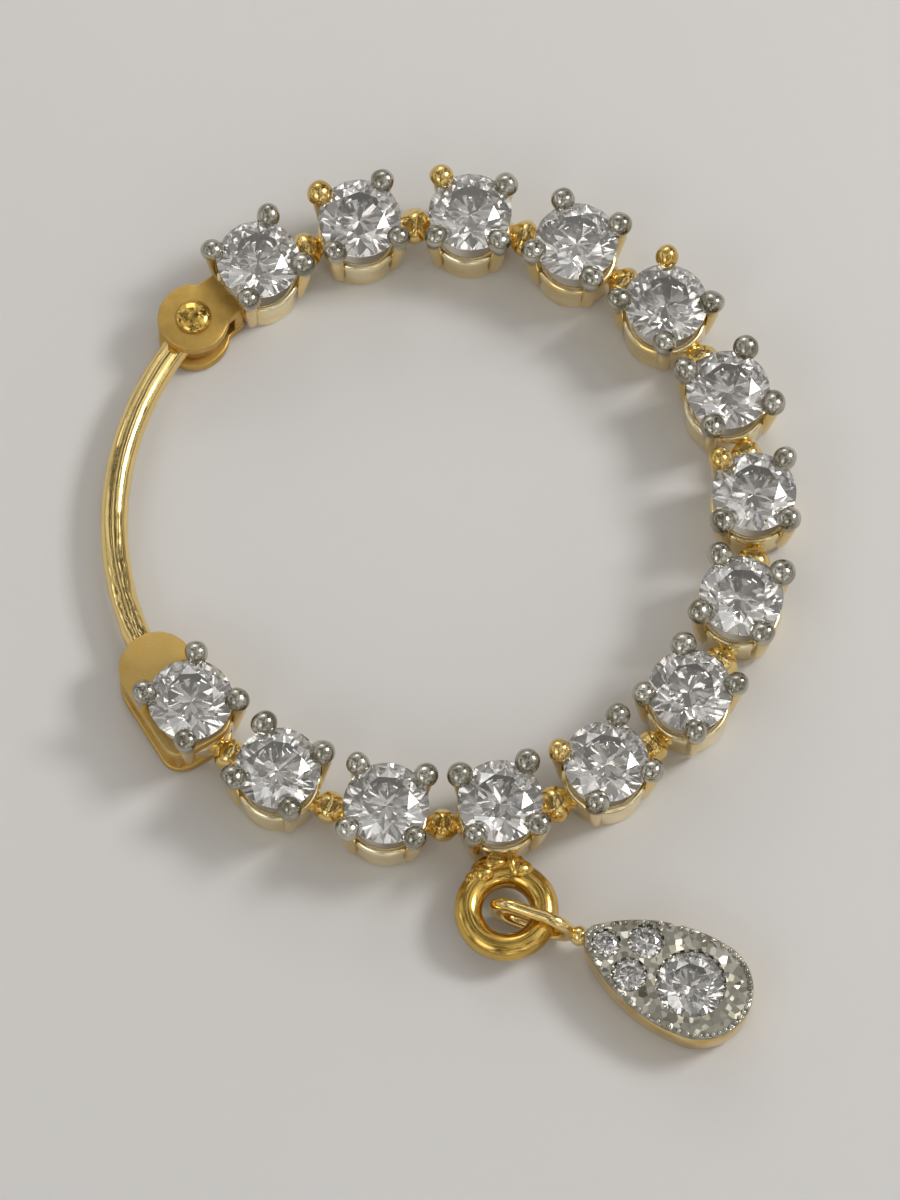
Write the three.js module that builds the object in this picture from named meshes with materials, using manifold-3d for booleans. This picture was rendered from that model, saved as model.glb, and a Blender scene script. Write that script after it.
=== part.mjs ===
// Hinged hoop nose ring: a row of round stones in four-prong baskets, closed by a hinged wire, with a drop.
// Millimetres and degrees. It lies flat with its stones up. While it is built, the hoop's centre is at
// X = Y = 0 and the baskets stand on Z = 0. At the end the origin moves under the middle of the whole.
import * as THREE from 'three';
import { ConvexGeometry } from 'three/addons/geometries/ConvexGeometry.js';
import { mergeVertices } from 'three/addons/utils/BufferGeometryUtils.js';
import Module from 'manifold-3d';

const wasm = await Module();
wasm.setup();

// The hoop and its row of stones
const HOOP_RADIUS = 9.85; // hoop centre to stone centre
const STONE_COUNT = 14;
const FIRST_STONE_ANGLE = 124; // anticlockwise from +X
const STONE_STEP = 20.27; // from each stone to the next, clockwise
const STONE_DIAMETER = 2.5;
const GIRDLE_HEIGHT = 2.45; // height of the stones' widest line
const STONE_CLEARANCE = 0.05; // between a stone and the metal round it

// Round brilliant cut, as shares of the stone's diameter, and two facet lengths as shares of their slope
const TABLE_SHARE = 0.57;
const CROWN_SHARE = 0.15;
const GIRDLE_SHARE = 0.03;
const PAVILION_SHARE = 0.42;
const STAR_LENGTH = 0.5;
const LOWER_FACET_LENGTH = 0.78;

// The baskets
const COLLET_HEIGHT = 1.4;
const COLLET_TOP_RADIUS = 1.32;
const COLLET_FOOT_RADIUS = 1.26;
const COLLET_WALL = 0.3;
const PRONG_RADIUS = 0.26;
const PRONG_ROOT_HEIGHT = 0.6; // where a prong starts as a point, inside the collet's wall
const PRONG_TAPER = 0.6; // length of its pointed root
const PRONG_TIP_RADIUS = 0.36;
const PRONG_TIP_REACH = 1.46; // stone centre to the middle of a tip
const PRONG_TIP_HEIGHT = 2.69;
const COLLET_SIDES = 16;
const SEAT_SIDES = 8;
const PRONG_SIDES = 6;

// The bars with a bead between the baskets
const LINK_BEAD_RADIUS = 0.4;
const LINK_BAR_RADIUS = 0.24;
const LINK_HEIGHT = 1.0;
const LINK_OUTSET = 0.1; // how far outside the stones' circle the links lie
const LINK_BEAD_SHARE = 0.7; // most of the bar's length that the bead takes
const LINK_BEAD_CORNER = 0.8; // where the bead meets the bar, as a share of its half length
const LINK_SIDES = 8;
const SOLDER_DEPTH = 0.14; // how far a soldered piece runs into the next one

// The ear wire and its hinge
const WIRE_DIAMETER = 0.85;
const WIRE_ARC_RADIUS = 9.95; // hoop centre to the wire's axis
const WIRE_HEIGHT = 0.93; // height of the wire's axis
const RUNNING_CLEARANCE = 0.05; // on each side of what turns or slides
const EYE_RADIUS = 1.0;
const RIVET_RADIUS = 0.46;
const RIVET_HEAD_RISE = 0.22; // of its round head above the upper hinge ear
const PLATE_THICKNESS = 0.37; // of the hinge's ears and the catch's jaws
const EAR_RADIUS = 1.12;
const EAR_NECK_WIDTH = 1.5;
const PLATE_ARC_STEPS = 12; // in the round outline of a plate
const HINGE_WEB = 0.25; // solid metal between the eye's room and the first collet
const HINGE_MOUTH = 0.67; // how far past the rivet's middle the hinge is open at its sides
const WIRE_START = 0.8; // where the round wire starts inside its eye, from the rivet's middle
const WIRE_SIDES = 10;
const WIRE_STEPS = 26;
const EYE_SIDES = 24;
const RIVET_SIDES = 16;
const HEAD_SHOULDER = 0.7; // where the rivet's head turns in, as a share of its radius and of its rise

// The catch
const JAW_RADIUS = 1.2; // half the width of a jaw, and the round of its free end
const JAW_RUN = 1.25; // how far the catch runs on past the last basket's middle
const JAW_WALL = 0.65; // closed side of the catch, towards the hoop's middle
const JAW_GROOVE = 0.32; // depth of the slot where it runs on along the last basket
const WIRE_END_GAP = 0.3; // between the wire's end and the last collet

// The drop ring on the outside of a basket
const DROP_ANGLE = -80; // the basket nearest this angle carries the ring
const DROP_RING_TURN = -1.8; // from that basket's middle, anticlockwise
const DROP_RING_RADIUS = 1.6;
const DROP_RING_WIRE = 0.86;
const DROP_RING_HEIGHT = 0.97;
const DROP_RING_STANDOFF = 0.08; // between the ring and the collet, filled by the solder
const SOLDER_NECK_WIDTH = 1.4;
const SOLDER_NECK_HEIGHT = 0.7;
const DROP_RING_SIDES = 16;
const DROP_RING_WIRE_SIDES = 8;

// The drop: bail loop, ball and pear
const BAIL_WIRE = 0.42;
const BAIL_LENGTH = 3.1;
const BAIL_CLEARANCE = 0.06; // above and below the drop ring's wire
const BAIL_ANGLE = -20; // direction from the drop ring to the pear
const BAIL_BACK = 0.55; // how far the bail's free end reaches past the drop ring's middle
const BAIL_START = 0.03; // where the bail's wire starts inside the ball, in half turns of its bend
const BAIL_SIDES = 6;
const BAIL_STEPS = 34;
const BALL_RADIUS = 0.28;
const BALL_SIDES = 10;
const BALL_RINGS = 8;
const PEAR_ANGLE = -27;
const PEAR_LENGTH = 5.7; // from the point where its sides would meet
const PEAR_WIDTH = 3.2;
const PEAR_SIDE_RADIUS = 5.0;
const PEAR_HEIGHT = 1.6;
const PEAR_RIM = 0.22;
const PEAR_BED_DEPTH = 0.2; // how far the stones' bed lies below the rim
const PEAR_TIP_RADIUS = 0.5;
const PEAR_TIP_IN_BALL = -0.035; // from the ball's middle to the point where the pear's sides would meet
const PEAR_MAIN_STONE = 2.1; // diameters of the pear's stones
const PEAR_SIDE_STONE = 1.05;
const PEAR_TIP_STONE = 0.84;
const PEAR_ARC_STEPS = 9;
const GRAIN_RADIUS = 0.14;
const GRAIN_RISE = 0.07; // height of a grain's middle above the bed
const GRAIN_SIDES = 6;
const GRAIN_RINGS = 4;

// The pear's stones: place along and across the pear as shares of its length and width
const PEAR_STONES = [
  { name: 'drop_stone_1', along: 0.665, across: 0.0, diameter: PEAR_MAIN_STONE },
  { name: 'drop_stone_2', along: 0.35, across: 0.185, diameter: PEAR_SIDE_STONE },
  { name: 'drop_stone_3', along: 0.35, across: -0.185, diameter: PEAR_SIDE_STONE },
  { name: 'drop_stone_4', along: 0.165, across: 0.0, diameter: PEAR_TIP_STONE },
];
// Grains that hold them: place as shares of the pear's length and width
const PEAR_GRAINS = [
  { along: 0.24, across: 0.15 },
  { along: 0.24, across: -0.15 },
  { along: 0.26, across: 0.0 },
  { along: 0.455, across: 0.0 },
  { along: 0.49, across: 0.32 },
  { along: 0.49, across: -0.32 },
  { along: 0.9, across: 0.19 },
  { along: 0.9, across: -0.19 },
];

const CUTTER_REACH = 1.0; // how far a cutting body reaches past the metal that it cuts

const radians = THREE.MathUtils.degToRad;

// Shares each vertex between its triangles and drops the triangles that have no area.
function closed(geometry) {
  const bare = geometry.index ? geometry.toNonIndexed() : geometry.clone();
  bare.deleteAttribute('normal');
  bare.deleteAttribute('uv');
  const merged = mergeVertices(bare, 1e-4);
  const corners = merged.index.array;
  const kept = [];
  for (let i = 0; i < corners.length; i += 3) {
    const [a, b, c] = [corners[i], corners[i + 1], corners[i + 2]];
    if (a !== b && b !== c && c !== a) kept.push(a, b, c);
  }
  merged.setIndex(kept);
  return merged;
}

function signedVolume(geometry) {
  const position = geometry.getAttribute('position');
  const corners = geometry.index.array;
  const [a, b, c] = [new THREE.Vector3(), new THREE.Vector3(), new THREE.Vector3()];
  let volume = 0;
  for (let i = 0; i < corners.length; i += 3) {
    a.fromBufferAttribute(position, corners[i]);
    b.fromBufferAttribute(position, corners[i + 1]);
    c.fromBufferAttribute(position, corners[i + 2]);
    volume += a.dot(b.cross(c)) / 6;
  }
  return volume;
}

// A closed geometry as a solid, with its faces turned outwards.
function solid(geometry) {
  const triVerts = new Uint32Array(geometry.index.array);
  if (signedVolume(geometry) < 0) {
    for (let i = 0; i < triVerts.length; i += 3) {
      [triVerts[i], triVerts[i + 1]] = [triVerts[i + 1], triVerts[i]];
    }
  }
  const vertProperties = new Float32Array(geometry.getAttribute('position').array);
  return new wasm.Manifold(new wasm.Mesh({ numProp: 3, vertProperties, triVerts }));
}

function toGeometry(shape) {
  const { vertProperties, triVerts } = shape.getMesh();
  const geometry = new THREE.BufferGeometry();
  geometry.setAttribute('position', new THREE.BufferAttribute(vertProperties, 3));
  geometry.setIndex(new THREE.BufferAttribute(triVerts, 1));
  return geometry;
}

function joined(geometries) {
  return geometries.map(solid).reduce((whole, piece) => whole.add(piece));
}

// A profile of [radius, height] points turned about Z, with one side's middle at the angle facing.
function turned(profile, sides, facing = 0) {
  const points = profile.map(([radius, height]) => new THREE.Vector2(radius, height));
  const geometry = closed(new THREE.LatheGeometry(points, sides));
  geometry.rotateX(Math.PI / 2);
  return geometry.rotateZ(radians(facing + 90) - Math.PI / sides);
}

// A flat outline raised from one height to another.
function slab(outline, from, to, curveSegments = PLATE_ARC_STEPS) {
  const options = { depth: to - from, bevelEnabled: false, curveSegments };
  return closed(new THREE.ExtrudeGeometry(outline, options)).translate(0, 0, from);
}

function rectangle(x0, y0, x1, y1) {
  return new THREE.Shape([
    new THREE.Vector2(x0, y0),
    new THREE.Vector2(x1, y0),
    new THREE.Vector2(x1, y1),
    new THREE.Vector2(x0, y1),
  ]);
}

// A round wire along a curve.
function wire(curve, radius, sides, steps) {
  const section = new THREE.Shape();
  for (let i = 0; i < sides; i += 1) {
    const angle = (2 * Math.PI * (i + 0.5)) / sides;
    const point = [radius * Math.cos(angle), radius * Math.sin(angle)];
    if (i === 0) section.moveTo(...point);
    else section.lineTo(...point);
  }
  section.closePath();
  return closed(new THREE.ExtrudeGeometry(section, { steps, bevelEnabled: false, extrudePath: curve }));
}

function onCircle(radius, angle, height = 0) {
  return new THREE.Vector3(radius * Math.cos(radians(angle)), radius * Math.sin(radians(angle)), height);
}

// Moves a copy of a geometry to a place, turned about Z.
function placed(geometry, place, angle) {
  return geometry.clone().rotateZ(radians(angle)).translate(place.x, place.y, place.z);
}

// A round brilliant with its girdle's middle at height 0: the convex body on the corners of its facets.
function brilliant(diameter) {
  const radius = diameter / 2;
  const halfGirdle = (GIRDLE_SHARE * diameter) / 2;
  const crown = CROWN_SHARE * diameter;
  const pavilion = PAVILION_SHARE * diameter;
  const tableRadius = TABLE_SHARE * radius;
  const tableEdge = tableRadius * Math.cos(Math.PI / 8);
  const starEnd = tableEdge + STAR_LENGTH * (radius - tableEdge);
  const lowerEnd = radius * (1 - LOWER_FACET_LENGTH);
  const kiteSlope = crown / (radius - tableRadius);
  const starEndHeight = (radius - starEnd * Math.cos(Math.PI / 8)) * kiteSlope;
  const lowerEndDepth = (radius - lowerEnd * Math.cos(Math.PI / 8)) * (pavilion / radius);
  const corners = [new THREE.Vector3(0, 0, -halfGirdle - pavilion)];
  for (let i = 0; i < 16; i += 1) {
    const angle = 22.5 * i;
    corners.push(onCircle(radius, angle, halfGirdle));
    corners.push(onCircle(radius, angle, -halfGirdle));
    if (i % 2 === 0) {
      corners.push(onCircle(tableRadius, angle, halfGirdle + crown));
    } else {
      corners.push(onCircle(starEnd, angle, halfGirdle + starEndHeight));
      corners.push(onCircle(lowerEnd, angle, -halfGirdle - lowerEndDepth));
    }
  }
  return closed(new ConvexGeometry(corners));
}

// The room that a stone needs in the metal round it: eight flat sides, one of them facing each prong.
function seat(diameter) {
  const spread = 1 / Math.cos(Math.PI / SEAT_SIDES);
  const radius = (diameter / 2 + STONE_CLEARANCE) * spread;
  const halfGirdle = (GIRDLE_SHARE * diameter) / 2 + STONE_CLEARANCE;
  const top = halfGirdle + CROWN_SHARE * diameter;
  return turned(
    [
      [0, -halfGirdle - PAVILION_SHARE * diameter],
      [radius, -halfGirdle],
      [radius, halfGirdle],
      [radius * TABLE_SHARE, top],
      [0, top],
    ],
    SEAT_SIDES,
    180 / SEAT_SIDES + 22.5,
  );
}

// One basket with its stone's place cut out, standing on Z = 0 with its +X side outwards from the hoop.
function makeBasket() {
  const collet = turned(
    [
      [COLLET_FOOT_RADIUS, 0],
      [COLLET_TOP_RADIUS, COLLET_HEIGHT],
      [COLLET_TOP_RADIUS - COLLET_WALL, COLLET_HEIGHT],
      [COLLET_FOOT_RADIUS - COLLET_WALL, 0],
      [COLLET_FOOT_RADIUS, 0],
    ],
    COLLET_SIDES,
  );
  const rootReach = COLLET_FOOT_RADIUS - COLLET_WALL / 2;
  const rise = PRONG_TIP_HEIGHT - PRONG_ROOT_HEIGHT;
  const length = Math.hypot(PRONG_TIP_REACH - rootReach, rise);
  const lean = Math.atan2(PRONG_TIP_REACH - rootReach, rise);
  const ball = [-38, 0, 45].map((angle) => [
    PRONG_TIP_RADIUS * Math.cos(radians(angle)),
    length + PRONG_TIP_RADIUS * Math.sin(radians(angle)),
  ]);
  const profile = [[0, 0], [PRONG_RADIUS, PRONG_TAPER], ...ball, [0, length + PRONG_TIP_RADIUS]];
  const prong = turned(profile, PRONG_SIDES);
  prong.rotateY(lean).translate(rootReach, 0, PRONG_ROOT_HEIGHT);
  const prongs = [45, 135, 225, 315].map((angle) => placed(prong, new THREE.Vector3(), angle));
  const room = seat(STONE_DIAMETER).translate(0, 0, GIRDLE_HEIGHT);
  return toGeometry(joined([collet, ...prongs]).subtract(solid(room)));
}

// The bar with its bead that joins two baskets.
function makeLink() {
  const halfLength = HOOP_RADIUS * Math.sin(radians(STONE_STEP / 2)) - COLLET_TOP_RADIUS + SOLDER_DEPTH;
  const beadHalf = Math.min(LINK_BEAD_RADIUS, halfLength * LINK_BEAD_SHARE);
  const corner = beadHalf * LINK_BEAD_CORNER;
  const link = turned(
    [
      [0, -halfLength],
      [LINK_BAR_RADIUS, -halfLength],
      [LINK_BAR_RADIUS, -corner],
      [LINK_BEAD_RADIUS, 0],
      [LINK_BAR_RADIUS, corner],
      [LINK_BAR_RADIUS, halfLength],
      [0, halfLength],
    ],
    LINK_SIDES,
  );
  return link.rotateX(Math.PI / 2);
}

// A round plate about the origin with a neck that runs to the distance reach along +X.
function earOutline(radius, neckWidth, reach) {
  const bite = Math.asin(neckWidth / 2 / radius);
  const outline = new THREE.Shape();
  outline.moveTo(reach, -neckWidth / 2);
  outline.lineTo(reach, neckWidth / 2);
  outline.absarc(0, 0, radius, bite, 2 * Math.PI - bite, false);
  return outline;
}

const slotHalf = WIRE_DIAMETER / 2 + RUNNING_CLEARANCE;
const plateLow = WIRE_HEIGHT - slotHalf - PLATE_THICKNESS;
const plateHigh = WIRE_HEIGHT + slotHalf + PLATE_THICKNESS;

function stoneAngle(number) {
  return FIRST_STONE_ANGLE - STONE_STEP * (number - 1);
}

// The angle on the wire's circle that lies the given distance from a basket's middle, on the wire's side.
function angleBeside(number, distance, side) {
  const [a, b] = [HOOP_RADIUS, WIRE_ARC_RADIUS];
  const between = Math.acos((a * a + b * b - distance * distance) / (2 * a * b));
  return stoneAngle(number) + side * THREE.MathUtils.radToDeg(between);
}

const eyeRoom = EYE_RADIUS + RUNNING_CLEARANCE;
const hingeReach = COLLET_TOP_RADIUS + HINGE_WEB + eyeRoom;
const hingeAngle = angleBeside(1, hingeReach, 1);
const hingePlace = onCircle(WIRE_ARC_RADIUS, hingeAngle);
const catchReach = COLLET_TOP_RADIUS + WIRE_END_GAP;
const catchAngle = angleBeside(STONE_COUNT, catchReach, -1) + 360;
const catchPlace = onCircle(WIRE_ARC_RADIUS, catchAngle);
const rivetHoleRadius = RIVET_RADIUS + RUNNING_CLEARANCE;

// Room for the stone and its light inside a basket, cut from whatever is soldered to it.
function basketHollow(number) {
  const hollow = turned(
    [
      [0, -CUTTER_REACH],
      [COLLET_FOOT_RADIUS - COLLET_WALL, -CUTTER_REACH],
      [COLLET_TOP_RADIUS - COLLET_WALL, COLLET_HEIGHT],
      [STONE_DIAMETER / 2 + STONE_CLEARANCE, GIRDLE_HEIGHT],
      [STONE_DIAMETER / 2 + STONE_CLEARANCE, GIRDLE_HEIGHT + CUTTER_REACH],
      [0, GIRDLE_HEIGHT + CUTTER_REACH],
    ],
    COLLET_SIDES,
  );
  return solid(placed(hollow, onCircle(HOOP_RADIUS, stoneAngle(number)), stoneAngle(number)));
}

// A round cutter for the rivet's hole, from below the piece to above it.
function rivetHole() {
  const [low, high] = [-CUTTER_REACH, plateHigh + CUTTER_REACH];
  return turned([[0, low], [rivetHoleRadius, low], [rivetHoleRadius, high], [0, high]], RIVET_SIDES);
}

// The two ears of the hinge, joined by a web at the first basket, with room for the wire's eye between them.
function makeHingeEars() {
  const firstBasket = onCircle(HOOP_RADIUS, stoneAngle(1));
  const heading = THREE.MathUtils.radToDeg(
    Math.atan2(firstBasket.y - hingePlace.y, firstBasket.x - hingePlace.x),
  );
  const reach = hingeReach - COLLET_TOP_RADIUS + SOLDER_DEPTH;
  const ears = slab(earOutline(EAR_RADIUS, EAR_NECK_WIDTH, reach), plateLow, plateHigh);
  const room = turned(
    [
      [0, WIRE_HEIGHT - slotHalf],
      [eyeRoom, WIRE_HEIGHT - slotHalf],
      [eyeRoom, WIRE_HEIGHT + slotHalf],
      [0, WIRE_HEIGHT + slotHalf],
    ],
    EYE_SIDES,
  );
  const mouth = slab(
    rectangle(-2 * EAR_RADIUS, -2 * EAR_RADIUS, HINGE_MOUTH, 2 * EAR_RADIUS),
    WIRE_HEIGHT - slotHalf,
    WIRE_HEIGHT + slotHalf,
  );
  const shape = solid(ears).subtract(solid(room)).subtract(solid(mouth)).subtract(solid(rivetHole()));
  return solid(placed(toGeometry(shape), hingePlace, heading)).subtract(basketHollow(1));
}

// The catch: a strip with a round free end, slotted from outside for the wire's end. It runs on under the
// last basket, where only a groove is left of the slot.
function makeCatch() {
  const jawEnd = catchReach + JAW_RUN;
  const outline = earOutline(JAW_RADIUS, 2 * JAW_RADIUS, jawEnd);
  const strip = slab(outline, plateLow, plateHigh);
  const slotLow = WIRE_HEIGHT - slotHalf;
  const slotHigh = WIRE_HEIGHT + slotHalf;
  const slotFloor = JAW_RADIUS - JAW_WALL;
  const slot = slab(rectangle(-2 * JAW_RADIUS, -2 * JAW_RADIUS, WIRE_END_GAP, slotFloor), slotLow, slotHigh);
  const grooveFloor = JAW_GROOVE - JAW_RADIUS;
  const groove = slab(rectangle(0, -2 * JAW_RADIUS, 2 * jawEnd, grooveFloor), slotLow, slotHigh);
  const shape = solid(strip).subtract(solid(slot)).subtract(solid(groove));
  return solid(placed(toGeometry(shape), catchPlace, catchAngle + 90)).subtract(basketHollow(STONE_COUNT));
}

const dropBasket = 1 + Math.round((FIRST_STONE_ANGLE - DROP_ANGLE) / STONE_STEP);
const ringAngle = stoneAngle(dropBasket) + DROP_RING_TURN;
const ringReach = HOOP_RADIUS + COLLET_TOP_RADIUS + DROP_RING_STANDOFF + DROP_RING_RADIUS;
const ringPlace = onCircle(ringReach, ringAngle, DROP_RING_HEIGHT);
const ringMiddle = DROP_RING_RADIUS - DROP_RING_WIRE / 2;

function makeDropRing() {
  const section = [];
  for (let i = 0; i <= DROP_RING_WIRE_SIDES; i += 1) {
    const angle = (2 * Math.PI * (i % DROP_RING_WIRE_SIDES)) / DROP_RING_WIRE_SIDES;
    const outward = ringMiddle + (DROP_RING_WIRE / 2) * Math.cos(angle);
    section.push([outward, (DROP_RING_WIRE / 2) * Math.sin(angle)]);
  }
  const ring = turned(section, DROP_RING_SIDES).translate(ringPlace.x, ringPlace.y, ringPlace.z);
  const neckHalf = SOLDER_NECK_WIDTH / 2;
  const neckFrom = HOOP_RADIUS + COLLET_TOP_RADIUS - SOLDER_DEPTH;
  const neckTo = ringReach - ringMiddle;
  const neck = slab(
    rectangle(neckFrom, -neckHalf, neckTo, neckHalf),
    DROP_RING_HEIGHT - SOLDER_NECK_HEIGHT / 2,
    DROP_RING_HEIGHT + SOLDER_NECK_HEIGHT / 2,
  );
  neck.rotateZ(radians(ringAngle));
  return solid(ring).add(solid(neck));
}

function makeFrame() {
  const basket = makeBasket();
  const link = makeLink();
  let frame = makeHingeEars().add(makeCatch()).add(makeDropRing());
  for (let number = 1; number <= STONE_COUNT; number += 1) {
    const angle = stoneAngle(number);
    frame = frame.add(solid(placed(basket, onCircle(HOOP_RADIUS, angle), angle)));
    if (number < STONE_COUNT) {
      const between = angle - STONE_STEP / 2;
      const chordRadius = HOOP_RADIUS + LINK_OUTSET;
      frame = frame.add(solid(placed(link, onCircle(chordRadius, between, LINK_HEIGHT), between)));
    }
  }
  return frame;
}

// The ear wire: a round wire on the hoop's circle with a flat eye at the hinge.
function makeEarWire() {
  const startAngle = hingeAngle + THREE.MathUtils.radToDeg(WIRE_START / WIRE_ARC_RADIUS);
  const arc = new THREE.CatmullRomCurve3(
    Array.from({ length: WIRE_STEPS / 2 }, (_, i) => {
      const angle = startAngle + ((catchAngle - startAngle) * i) / (WIRE_STEPS / 2 - 1);
      return onCircle(WIRE_ARC_RADIUS, angle, WIRE_HEIGHT);
    }),
  );
  const rod = wire(arc, WIRE_DIAMETER / 2, WIRE_SIDES, WIRE_STEPS);
  const half = WIRE_DIAMETER / 2;
  const eye = turned([[0, -half], [EYE_RADIUS, -half], [EYE_RADIUS, half], [0, half]], EYE_SIDES);
  eye.translate(hingePlace.x, hingePlace.y, WIRE_HEIGHT);
  const hole = rivetHole().translate(hingePlace.x, hingePlace.y, 0);
  return toGeometry(joined([rod, eye]).subtract(solid(hole)));
}

// The rivet, from the lower ear's face up through the upper ear, with a round head.
function makeRivet() {
  const profile = [
    [0, plateLow],
    [RIVET_RADIUS, plateLow],
    [RIVET_RADIUS, plateHigh],
    [RIVET_RADIUS * HEAD_SHOULDER, plateHigh + RIVET_HEAD_RISE * HEAD_SHOULDER],
    [0, plateHigh + RIVET_HEAD_RISE],
  ];
  return turned(profile, RIVET_SIDES).translate(hingePlace.x, hingePlace.y, 0);
}

// The pear's outline, drawn in by an inset all round. Each side is one arc that runs smoothly into the round
// end, along +X, and into the blunt tip. The sides would meet at the origin.
const pearEndRadius = PEAR_WIDTH / 2;
const pearEndMiddle = PEAR_LENGTH - pearEndRadius;
const sideMinusEnd = PEAR_SIDE_RADIUS - pearEndRadius;
const sideAlong = (PEAR_SIDE_RADIUS ** 2 - sideMinusEnd ** 2 + pearEndMiddle ** 2) / (2 * pearEndMiddle);
const sideAcross = Math.sqrt(PEAR_SIDE_RADIUS ** 2 - sideAlong ** 2);
const pearTipMiddle = sideAlong - Math.sqrt((PEAR_SIDE_RADIUS - PEAR_TIP_RADIUS) ** 2 - sideAcross ** 2);

function pearOutline(inset) {
  const side = PEAR_SIDE_RADIUS - inset;
  const end = pearEndRadius - inset;
  const tipAngle = Math.atan2(sideAcross, pearTipMiddle - sideAlong);
  const touchAngle = Math.atan2(sideAcross, pearEndMiddle - sideAlong);
  const outline = new THREE.Shape();
  outline.absarc(pearTipMiddle, 0, PEAR_TIP_RADIUS - inset, tipAngle, 2 * Math.PI - tipAngle, false);
  outline.absarc(sideAlong, sideAcross, side, -tipAngle, -touchAngle, false);
  outline.absarc(pearEndMiddle, 0, end, -touchAngle, touchAngle, false);
  outline.absarc(sideAlong, -sideAcross, side, touchAngle, tipAngle, false);
  return outline;
}

// The bail's axis: a long loop in the upright plane along +X, from just above the ball and back below it.
class BailLoop extends THREE.Curve {
  constructor(length, halfHeight) {
    super();
    this.halfHeight = halfHeight;
    this.straight = length - 2 * halfHeight;
  }

  getPoint(t) {
    const quarter = (Math.PI / 2) * this.halfHeight;
    const start = Math.PI * BAIL_START * this.halfHeight;
    const travel = start + t * (2 * this.straight + 4 * quarter - 2 * start);
    const lengths = [quarter, this.straight, 2 * quarter, this.straight, quarter];
    let rest = travel;
    let leg = 0;
    while (leg < 4 && rest > lengths[leg]) {
      rest -= lengths[leg];
      leg += 1;
    }
    const angle = rest / this.halfHeight;
    const across = this.halfHeight * Math.cos(angle);
    const along = this.halfHeight * Math.sin(angle);
    const far = -this.halfHeight;
    const near = -this.halfHeight - this.straight;
    if (leg === 0) return this.at(far + across, along);
    if (leg === 1) return this.at(far - rest, this.halfHeight);
    if (leg === 2) return this.at(near - along, across);
    if (leg === 3) return this.at(near + rest, -this.halfHeight);
    return this.at(far + along, -across);
  }

  at(x, z) {
    return new THREE.Vector3(x, 0, z);
  }
}

const bailHalfHeight = DROP_RING_WIRE / 2 + BAIL_CLEARANCE + BAIL_WIRE / 2;
const bailDirection = onCircle(1, BAIL_ANGLE);
const bailEnd = BAIL_LENGTH - BAIL_BACK - BAIL_WIRE / 2;
const ballPlace = ringPlace.clone().addScaledVector(bailDirection, bailEnd);
const pearTip = ballPlace.clone().addScaledVector(onCircle(1, PEAR_ANGLE), PEAR_TIP_IN_BALL).setZ(0);
const bedHeight = PEAR_HEIGHT - PEAR_BED_DEPTH;

function pearPoint({ along, across }, height) {
  const point = new THREE.Vector3(along * PEAR_LENGTH, across * PEAR_WIDTH, height);
  return point.applyAxisAngle(new THREE.Vector3(0, 0, 1), radians(PEAR_ANGLE)).add(pearTip);
}

function makeDropSetting() {
  const cup = placed(slab(pearOutline(0), 0, PEAR_HEIGHT, PEAR_ARC_STEPS), pearTip, PEAR_ANGLE);
  const bedTop = PEAR_HEIGHT + CUTTER_REACH;
  const bed = placed(slab(pearOutline(PEAR_RIM), bedHeight, bedTop, PEAR_ARC_STEPS), pearTip, PEAR_ANGLE);
  let pear = solid(cup).subtract(solid(bed));
  for (const grain of PEAR_GRAINS) {
    const bead = closed(new THREE.SphereGeometry(GRAIN_RADIUS, GRAIN_SIDES, GRAIN_RINGS));
    const place = pearPoint(grain, bedHeight + GRAIN_RISE);
    pear = pear.add(solid(bead.translate(place.x, place.y, place.z)));
  }
  for (const stone of PEAR_STONES) {
    const room = seat(stone.diameter);
    pear = pear.subtract(solid(placed(room, pearPoint(stone, bedHeight), PEAR_ANGLE)));
  }
  const axis = new BailLoop(BAIL_LENGTH - BAIL_WIRE, bailHalfHeight);
  const loop = wire(axis, BAIL_WIRE / 2, BAIL_SIDES, BAIL_STEPS);
  const ball = closed(new THREE.SphereGeometry(BALL_RADIUS, BALL_SIDES, BALL_RINGS));
  ball.translate(ballPlace.x, ballPlace.y, ballPlace.z);
  return toGeometry(pear.add(solid(ball)).add(solid(placed(loop, ballPlace, BAIL_ANGLE))));
}

const gold = new THREE.MeshStandardMaterial({ color: 0xc8982f, metalness: 1, roughness: 0.25 });
const satinGold = new THREE.MeshStandardMaterial({ color: 0xaa8440, metalness: 1, roughness: 0.45 });
const clearStone = new THREE.MeshStandardMaterial({ color: 0xe8ecf2, metalness: 0, roughness: 0.02 });

const noseRing = new THREE.Group();

function addPiece(name, geometry, material) {
  const piece = new THREE.Mesh(geometry, material.clone());
  piece.name = name;
  noseRing.add(piece);
  return piece;
}

addPiece('hoop_frame', toGeometry(makeFrame()), gold);
addPiece('ear_wire', makeEarWire(), gold);
addPiece('hinge_rivet', makeRivet(), satinGold);
addPiece('drop_setting', makeDropSetting(), gold);

for (let number = 1; number <= STONE_COUNT; number += 1) {
  const name = `stone_${String(number).padStart(2, '0')}`;
  const stone = addPiece(name, brilliant(STONE_DIAMETER), clearStone);
  stone.position.copy(onCircle(HOOP_RADIUS, stoneAngle(number), GIRDLE_HEIGHT));
  stone.rotation.z = radians(stoneAngle(number));
}

for (const { name, diameter, ...share } of PEAR_STONES) {
  const stone = addPiece(name, brilliant(diameter), clearStone);
  stone.position.copy(pearPoint(share, bedHeight));
  stone.rotation.z = radians(PEAR_ANGLE);
}

// The origin goes under the middle of the whole piece, on the surface that it lies on.
noseRing.updateMatrixWorld(true);
const extent = new THREE.Box3().setFromObject(noseRing, true);
noseRing.position.set(-(extent.min.x + extent.max.x) / 2, -(extent.min.y + extent.max.y) / 2, -extent.min.z);

export default noseRing;
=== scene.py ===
import math
import random

import bmesh
import bpy
from bpy.props import FloatProperty, FloatVectorProperty, IntProperty, PointerProperty
from mathutils import Matrix, Vector, noise


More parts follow.
